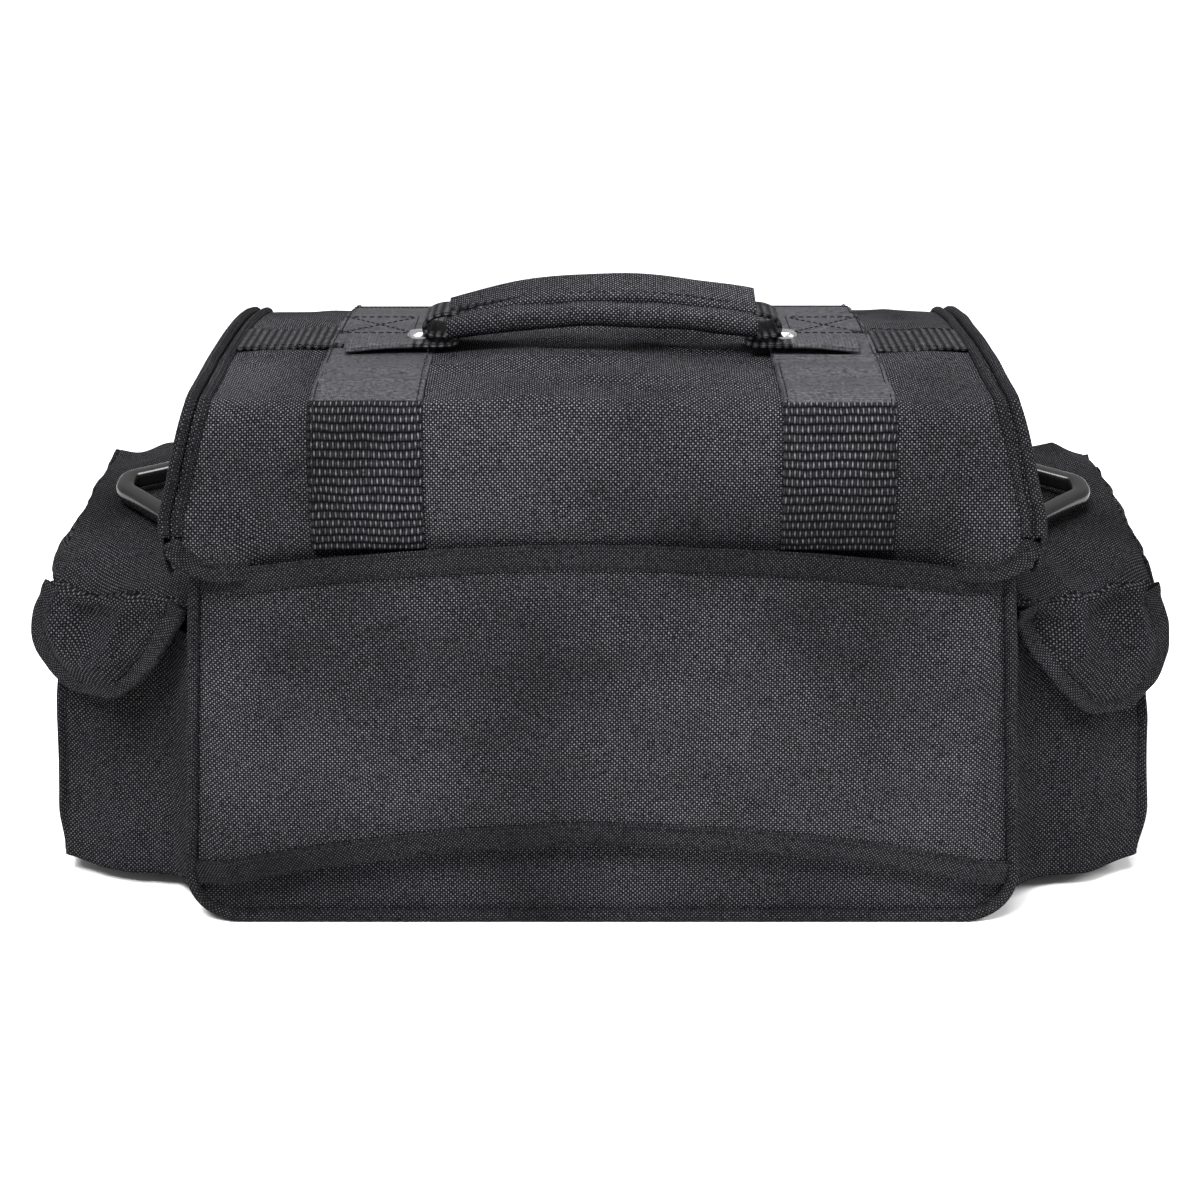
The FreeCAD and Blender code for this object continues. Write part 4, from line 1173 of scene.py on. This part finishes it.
def make_pouch_floor(word, side, wall):
    rim = wall[0]
    rows = []
    back = rim[:len(rim) // 2]
    front = rim[::-1][:len(rim) // 2]
    for share in np.linspace(0, 1, 24):
        rows.append(back + (front - back) * share)
    points = np.array(rows)
    middle = points.reshape(-1, 3).mean(axis=0)
    points = middle + (points - middle) * [0.97, 0.985, 1]
    points[..., 2] += 1.5 * MM + ruffle(points, 1.2 * MM, 40 * MM, 3.0)
    made = grid(f"pouch_floor_{word}", points * [side, 1, 1], SHADED_SIDE_CLOTH, uv=points[..., :2],
                thick=1.8 * MM)
    place(made, "bag", "shell_fabric", f"side_pouch_base_{word}")


def make_fin(word, side, label, end, wall):
    """Stitched seam allowance that stands out along a corner of the pouch."""
    out = unit(np.array([0.75, 0.66 * end, 0.0]))
    column = int(np.argmax(wall[len(wall) // 2] @ out))
    path = wall[:, column][1:-3]
    flip = np.array([side, 1, 1])
    stand = smooth_step(np.linspace(0, 4, len(path)))[:, None]
    centre = (path + out * (4.0 * stand - 3.6) * MM) * flip
    made = sweep(f"pouch_fin_{label}_{word}", centre, out * flip, np.cross(out, (0, 0, 1)) * flip,
                 flat_section(7.5 * MM, 2.0 * MM, 6), SHADED_SIDE_CLOTH)
    place(made, "bag", "shell_fabric")
    facing = unit(np.cross(out, (0, 0, 1)))
    facing = facing if facing[1] * end > 0 else -facing
    line = (path + out * (4.0 * stand - 3.8) * MM + facing * 1.3 * MM) * flip
    return line, facing * flip


# ---------------------------------------------------------------- clover flaps

FLAP_IN = low("side_flap_right")[0]
FLAP_OUT = high("side_flap_right")[0]
FLAP_DEEP = high("side_flap_right")[1]
FLAP_DEEP_OUT = FLAP_DEEP - 29 * MM
FLAP_TILT = math.tan(math.radians(6))
FLAP_LEVEL = 169 * MM
LOBE_LOW = {"left": 104 * MM, "right": 96 * MM}


def flap_panel(a, b, seed):
    """Top of the +X flap: a from the body outwards, b from the back to the front."""
    a, b = np.broadcast_arrays(np.asarray(a, float), np.asarray(b, float))
    x = FLAP_IN - 4 * MM + (FLAP_OUT - 2 * MM - FLAP_IN + 4 * MM) * a
    outer = np.where(b > 0, FLAP_DEEP - 10 * MM, FLAP_DEEP_OUT)
    y = b * (FLAP_DEEP + (outer - FLAP_DEEP) * a)
    crown = 2.5 * MM * (1 - b ** 2) * (1 - 0.45 * a)
    edge_fall = -2.0 * MM * np.abs(b) ** 8 - 2.0 * MM * a ** 8
    z = FLAP_LEVEL + y * FLAP_TILT + crown + edge_fall
    places = joined(x, y, z)
    calm = (1 - b ** 6) * (1 - a ** 6)
    near = smooth_step(np.abs(b) * 2 - 0.9)
    folds = (ruffle(places, 3.0 * MM, 42 * MM, seed)
             + ruffle(places, 1.0 * MM, 17 * MM, seed + 2)) * (0.35 + 0.65 * calm)
    clear = smooth_step((np.hypot(x - RING_X, y * 0.8) - 40 * MM) / (25 * MM))
    folds = np.minimum(folds, -1.5 * MM + 6 * MM * clear)
    places[..., 2] += folds + creases(places * [1.5, 0.7, 1], 4.0 * MM, 38 * MM, seed + 5) * near
    return places


def lobe_shape(s, t, lean):
    """Share along the crease of a lobe point: it narrows to a round end, off centre by `lean`."""
    peak = 0.5 + lean
    slant = 2.0 - 3.2 * lean
    inner = peak * (1 - np.sqrt(np.clip(1 - t ** slant, 0, 1)))
    late = np.clip((t - 0.35) / 0.65, 0, 1)
    outer = 1 - (1 - peak) * (1 - np.sqrt(np.clip(1 - late ** 2.2, 0, 1)))
    outer = outer + 0.6 * lean * np.sin(math.pi * np.clip(t, 0, 1))
    return inner + (outer - inner) * s


def lobe_points(crease, out, drop, s, t, lean, seed, lift=0.0):
    """A lobe that rolls over the crease and hangs; crease is a line of points."""
    share = lobe_shape(s, t, lean)
    marks = np.linspace(0, 1, len(crease))
    base = between(share, marks, crease)
    base = base + np.maximum(share - 1, 0)[..., None] * (crease[-1] - crease[0])
    bend = 7 * MM
    hang = t * (base[..., 2] - drop)
    roll = np.clip(hang / bend, 0, 1) * math.pi / 2
    outward = bend * np.sin(roll) * 0.6
    down = bend * (1 - np.cos(roll)) + np.maximum(hang - bend, 0)
    across = np.clip((s - 0.5) * 2, -1, 1)
    full = 10.0 * MM * (1 - across ** 4) * np.sin(math.pi * np.clip(t, 0, 1)) ** 0.6
    places = base + out * (outward + full + lift)[..., None]
    places[..., 2] -= down
    folds = (ruffle(places, 3.0 * MM, 34 * MM, seed)
             + creases(places * [1, 1, 0.8], 8.0 * MM, 34 * MM, seed + 1)
             + creases(places, 2.0 * MM, 14 * MM, seed + 2))
    return places + out * (folds * smooth_step(t * 5) * (1 - 0.5 * t))[..., None]


def make_lobe(name, word, side, crease, out, drop, lean, seed):
    flip = np.array([side, 1, 1])
    s = np.linspace(0, 1, 50)[None, :]
    share = np.linspace(0, 1, 44)[:, None]
    t = np.clip(np.sin(share * math.pi / 2) * 0.6 + share * 0.4, 0, 0.9995)
    points = lobe_points(crease, out, drop, s, t, lean, seed)
    wide, tall = lengths(crease)[-1], crease[:, 2].mean() - drop
    uv_x = lobe_shape(s, t, lean) * wide
    uv = joined(uv_x, points[..., 2])
    made = grid(f"{name}_{word}", points * flip, SHADED_SIDE_CLOTH, uv, thick=2.4 * MM)

    def rim(inset, lift):
        """A line on the lobe that keeps a distance from its free edge."""
        level = np.linspace(0.06, 0.9995, 50) * (1 - inset / tall)
        room = lobe_shape(1.0, level, lean) - lobe_shape(0.0, level, lean)
        step = np.clip(inset / wide / np.maximum(room, 0.05), 0, 0.5)
        places = np.concatenate([step, 1 - step[::-1]])
        levels = np.concatenate([level, level[::-1]])
        line = lobe_points(crease, out, drop, places, levels, lean, seed, lift)
        return resample(line, 2.0 * MM)

    path = rim(4.2 * MM, 0.9 * MM) * flip
    band = strap(f"{name}_binding_{word}", path, out * flip + [0, 0, 0.05], EDGE_TAPE, 2.6 * MM, TAPE)
    return made, band, (rim(9.6 * MM, 0.6 * MM) * flip, out * flip), (wide, tall), path


def make_flap(word, side):
    body = f"side_flap_{word}"
    flip = np.array([side, 1, 1])
    seed = 11.0 + side * 2.0
    a = np.linspace(0, 1, 50)[:, None]
    b = np.linspace(-1, 1, 120)[None, :]
    points = flap_panel(a, b, seed)
    uv = points[..., [1, 0]]
    top = grid(f"flap_top_{word}", points * flip, SHADED_SIDE_CLOTH, uv, thick=2.6 * MM)
    turn = flap_turn()
    place(top, turn, "shell_fabric", body)
    slant = unit(np.array([FLAP_DEEP - FLAP_DEEP_OUT, -(FLAP_OUT - FLAP_IN), 0.0]))
    rows = []
    share = np.linspace(0, 1, 50)
    drop = LOBE_LOW[word]
    back, front = flap_panel(share, -1.0, seed), flap_panel(share, 1.0, seed)
    outer = flap_panel(1.0, share * 1.5 - 0.75, seed)
    edges = (("lobe_back", back, slant, drop, 0.26, 0.3 * MM),
             ("lobe_front", front, slant * [1, -1, 1], drop + 8 * MM, 0.26, 0.3 * MM),
             ("lobe_outer", outer, np.array([1.0, 0, 0]), drop + 14 * MM, 0.0, 1.4 * MM))
    for name, crease, out, drop, lean, sunk in edges:
        crease = crease - np.array([0, 0, sunk]) - out * (0.4 * MM + sunk)
        made, band, row, size, path = make_lobe(name, word, side, crease, out, drop, lean, seed + drop * 50)
        for piece in (made, band):
            place(piece, turn, "shell_fabric")
        rows.append(row)
    stitches(f"flap_stitches_{word}", rows, body)


def flap_turn():
    """The flap's inner edge is sewn to the end panel; the function given back only bakes a piece's place
    into its mesh, and nothing turns up.
    """
    def blend(piece):
        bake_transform(piece)
    return blend


# ---------------------------------------------------------------- D-rings and their loops

RING_X = 200 * MM
RING_Z = 177 * MM
RING_HALF = high("d_ring_right")[1] - 4.5 * MM
RING_TIP = high("d_ring_right")[0]
RING_LEAN = math.radians(6)


def ring_turn(points, side):
    """From the ring's own frame to its place: dipped towards the back of the bag."""
    c, s = math.cos(RING_LEAN), math.sin(RING_LEAN)
    x, y, z = points[..., 0], points[..., 1], points[..., 2]
    return joined(side * (RING_X + x), y * c - z * s, RING_Z + y * s + z * c)


def make_ring(word, side):
    reach = RING_TIP - RING_X - 4.5 * MM
    half = RING_HALF
    skew = {"left": 0.26, "right": 0.1}[word]
    corners = [(0, 0), (0, half * 0.86), (0.4 * MM, half * 0.99), (5 * MM, half * 1.03),
               (10 * MM, half * 0.86), (reach * 0.82, half * 0.36), (reach, half * 0.22),
               (reach * 1.02, 0)]
    right = np.array(corners)
    loop = np.vstack([right, right[-2:0:-1] * [1, -1], right[:1]])
    loop = resample(soften(loop, 3), 1.5 * MM)[:-1]
    path = joined(loop[:, 0], loop[:, 1] + skew * loop[:, 0], 0)
    tangent = unit(np.roll(path, -1, 0) - np.roll(path, 1, 0))
    across = np.cross(tangent, (0, 0, 1.0))
    section = oval(9.6 * MM, 8.2 * MM, 24, 3.4)
    places = ring_turn(path, side)
    up = np.array([0, -math.sin(RING_LEAN), math.cos(RING_LEAN)])
    outward = ring_turn(path + across, side) - places
    made = sweep(f"ring_{word}", places, outward, up, section, RING, closed=True)
    place(made, f"d_ring_{word}", "ring_plastic", f"d_ring_{word}")


def make_ring_loop(word, side):
    """Webbing folded round the ring's bar and sewn to the end panel."""
    around = 6.6 * MM
    turn = np.linspace(math.radians(250), math.radians(-70), 40)
    line = [(-9.0 * MM, -6.2 * MM), (-6 * MM, -6.4 * MM)]
    line += [(around * math.cos(angle), around * math.sin(angle)) for angle in turn][::-1]
    line += [(-5.0 * MM, -7.2 * MM), (-12.5 * MM, -8.2 * MM)]
    line = np.array(line)
    path = joined(line[:, 0], 0, line[:, 1])
    path = resample(path, 1.5 * MM)
    places = ring_turn(path, side)
    tangent = tangents(places)
    across = np.array([0, math.cos(RING_LEAN), math.sin(RING_LEAN)])
    normal = np.cross(tangent, across)
    wide = high("strap_tab_right")[1] - low("strap_tab_right")[1] - 1.5 * MM
    made = sweep(f"ring_loop_{word}", places, across, normal, flat_section(wide, 1.8 * MM, 12), WEBBING)
    place(made, "bag", "webbing", f"strap_tab_{word}")


# ---------------------------------------------------------------- front pocket, straps and buckles

def make_front_pocket():
    lowest, highest = low("front_pocket"), high("front_pocket")
    half = highest[0]
    deep = highest[1] - lowest[1]
    z = np.linspace(lowest[2], highest[2], 40)
    plan = soften([(-half, 0), (-half, deep * 0.9), (-half + 9 * MM, deep), (0, deep * 1.1),
                   (half - 9 * MM, deep), (half, deep * 0.9), (half, 0)], 3)
    plan = resample(plan, 3 * MM)
    foot = np.sqrt(np.clip(1 - ((lowest[2] + 14 * MM - z) / (14 * MM)).clip(0, 1) ** 2, 0.02, 1))
    y = lowest[1] + plan[None, :, 1] * foot[:, None]
    points = joined(plan[:, 0], y, z[:, None])
    points[..., 1] += ruffle(points, 1.5 * MM, 40 * MM, 6.0) * (plan[None, :, 1] / deep)
    along = lengths(points[20])
    made = grid("pocket_wall", points, CLOTH, joined(along, points[..., 2]), thick=1.5 * MM)
    place(made, "bag", "shell_fabric", "front_pocket")
    rim = points[-3].copy()
    out = -sideways(rim)
    band = strap("pocket_tape", rim + out * 0.8 * MM, out, BAND, 1.5 * MM, TAPE)
    place(band, "bag", "binding_tape", "pocket_binding")
    rows = [(rim + out * 1.7 * MM + [0, 0, s * 3.8 * MM], out) for s in (-1, 1)]
    stitches("pocket_stitches", rows, "bag")


def make_front_straps(word, side):
    lowest, highest = low(f"front_webbing_{word}"), high(f"front_webbing_{word}")
    x = (lowest[0] + highest[0]) / 2
    face = highest[1] + 1.4 * MM
    points = [(x, face, lowest[2] - 2 * MM), (x, face + 0.5 * MM, lowest[2] + 20 * MM),
              (x, face + 0.5 * MM, highest[2] - 2 * MM), (x, face + 2 * MM, highest[2] + 3 * MM)]
    made = strap(f"front_strap_{word}", points, (0, 1, 0), STRAP_WIDE, 2 * MM, WEBBING)
    place(made, "bag", "webbing", f"front_webbing_{word}")
    rows = []
    edge_x = STRAP_WIDE / 2 - 3 * MM
    bottom, top = lowest[2] + 1 * MM, lowest[2] + 26 * MM
    corners = [(-edge_x, bottom), (edge_x, bottom), (edge_x, top), (-edge_x, top)]
    for first, second in ((0, 1), (1, 2), (2, 3), (3, 0), (0, 2), (1, 3)):
        start = np.array([x + corners[first][0], face + 1.7 * MM, corners[first][1]])
        end = np.array([x + corners[second][0], face + 1.7 * MM, corners[second][1]])
        rows.append((np.linspace(start, end, 10), np.array([0, 1.0, 0])))
    stitches(f"front_box_stitch_{word}", rows, "bag")
    body = f"strap_tail_{word}"
    lowest, highest = low(body), high(body)
    y = (lowest[1] + highest[1]) / 2
    top = highest[2]
    wide = STRAP_WIDE - 0.6 * MM
    points = [(x, y - 0.4 * MM, top + 9 * MM), (x, y, top - 6 * MM), (x, y, lowest[2] - 1.5 * MM)]
    made = strap(f"tail_{word}", points, (0, 1, 0), wide, 2 * MM, WEBBING)

    def blend_tail(piece):
        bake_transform(piece)

    place(made, blend_tail, "webbing", body)


def dress_cad(node, material, bevel=0.6 * MM):
    """Give a carried-over CAD node its material and softened edges."""
    piece = NODES[node]
    piece.data.materials.clear()
    piece.data.materials.append(material)
    if bevel:
        soft = piece.modifiers.new("edges", "BEVEL")
        soft.width = bevel
        soft.segments = 3
        soft.limit_method = "ANGLE"
        soft.angle_limit = math.radians(35)


# ---------------------------------------------------------------- inside

def tapered(inset):
    """Bend for wall pads: their ends follow the body's taper."""
    def bend(places):
        half = np.abs(places[:, 0]).max()
        room = edge(places[:, 2]) - inset
        places = places.copy()
        places[:, 0] *= room / half
        return places
    return bend


def leaning(side):
    """Bend for end pads: they lean with the end panels."""
    def bend(places):
        places = places.copy()
        places[:, 0] += side * (edge(places[:, 2]) - edge(0.1))
        return places
    return bend


def make_inside():
    for node in ("back_foam", "front_foam"):
        made = pillow(f"{node}_pad", low(node), high(node), tapered(7.5 * MM))
        padded(made, node)
    made = pillow("base_pad", low("base_foam"), high("base_foam"))
    padded(made, "base_foam")
    for word, side in SIDES.items():
        lowest, highest = low(f"end_foam_{word}"), high(f"end_foam_{word}")
        outer = edge(0.1) - 2.2 * MM
        span = sorted((side * outer, side * (outer - 8 * MM)))
        made = pillow(f"end_pad_{word}", (span[0], lowest[1], lowest[2] + 6 * MM),
                      (span[1], highest[1], highest[2]), leaning(side))
        padded(made, f"end_foam_{word}")
        node = f"divider_{word}"
        made = pillow(f"divider_pad_{word}", low(node), high(node), round_by=4 * MM)
        padded(made, node)
    lowest, highest = low("hinge_tape"), high("hinge_tape")
    wide = highest[2] - lowest[2]
    _, y, z = (lowest + highest) / 2
    path = np.linspace((lowest[0], y, z), (highest[0], y, z), 60)
    made = strap("hinge_binding", path, (0, 1, 0), wide, 1.2 * MM, TAPE)
    place(made, "bag", "binding_tape", "hinge_tape")


# ---------------------------------------------------------------- build

make_camera()
make_stage()
make_face("back_face", -DEPTH, -1, ["back_panel"], high("back_panel")[2])
make_face("front_face", DEPTH, 1, ["front_panel"], WALL_TOP)
make_gusset()
make_body_piping("back_piping_roll", low("back_piping")[1] + 2.8 * MM, "back_piping")
make_body_piping("front_piping_roll", high("front_piping")[1] - 2.8 * MM, "front_piping")
make_sleeve()
make_hood()
make_handle()
make_front_pocket()
make_inside()
for word, side in SIDES.items():
    make_end_rolls(word, side)
    make_skirt(word, side)
    make_lid_strap(word, side)
    make_cross_strap(word, side)
    make_leg(word, side)
    make_pouch(word, side)
    make_flap(word, side)
    make_ring(word, side)
    make_ring_loop(word, side)
    make_front_straps(word, side)
    dress_cad(f"buckle_socket_{word}", BUCKLE)
    dress_cad(f"buckle_plug_{word}", BUCKLE)
dress_cad("handle_rivets", RIVET, bevel=0)
dress_cad("base_board", BOARD)
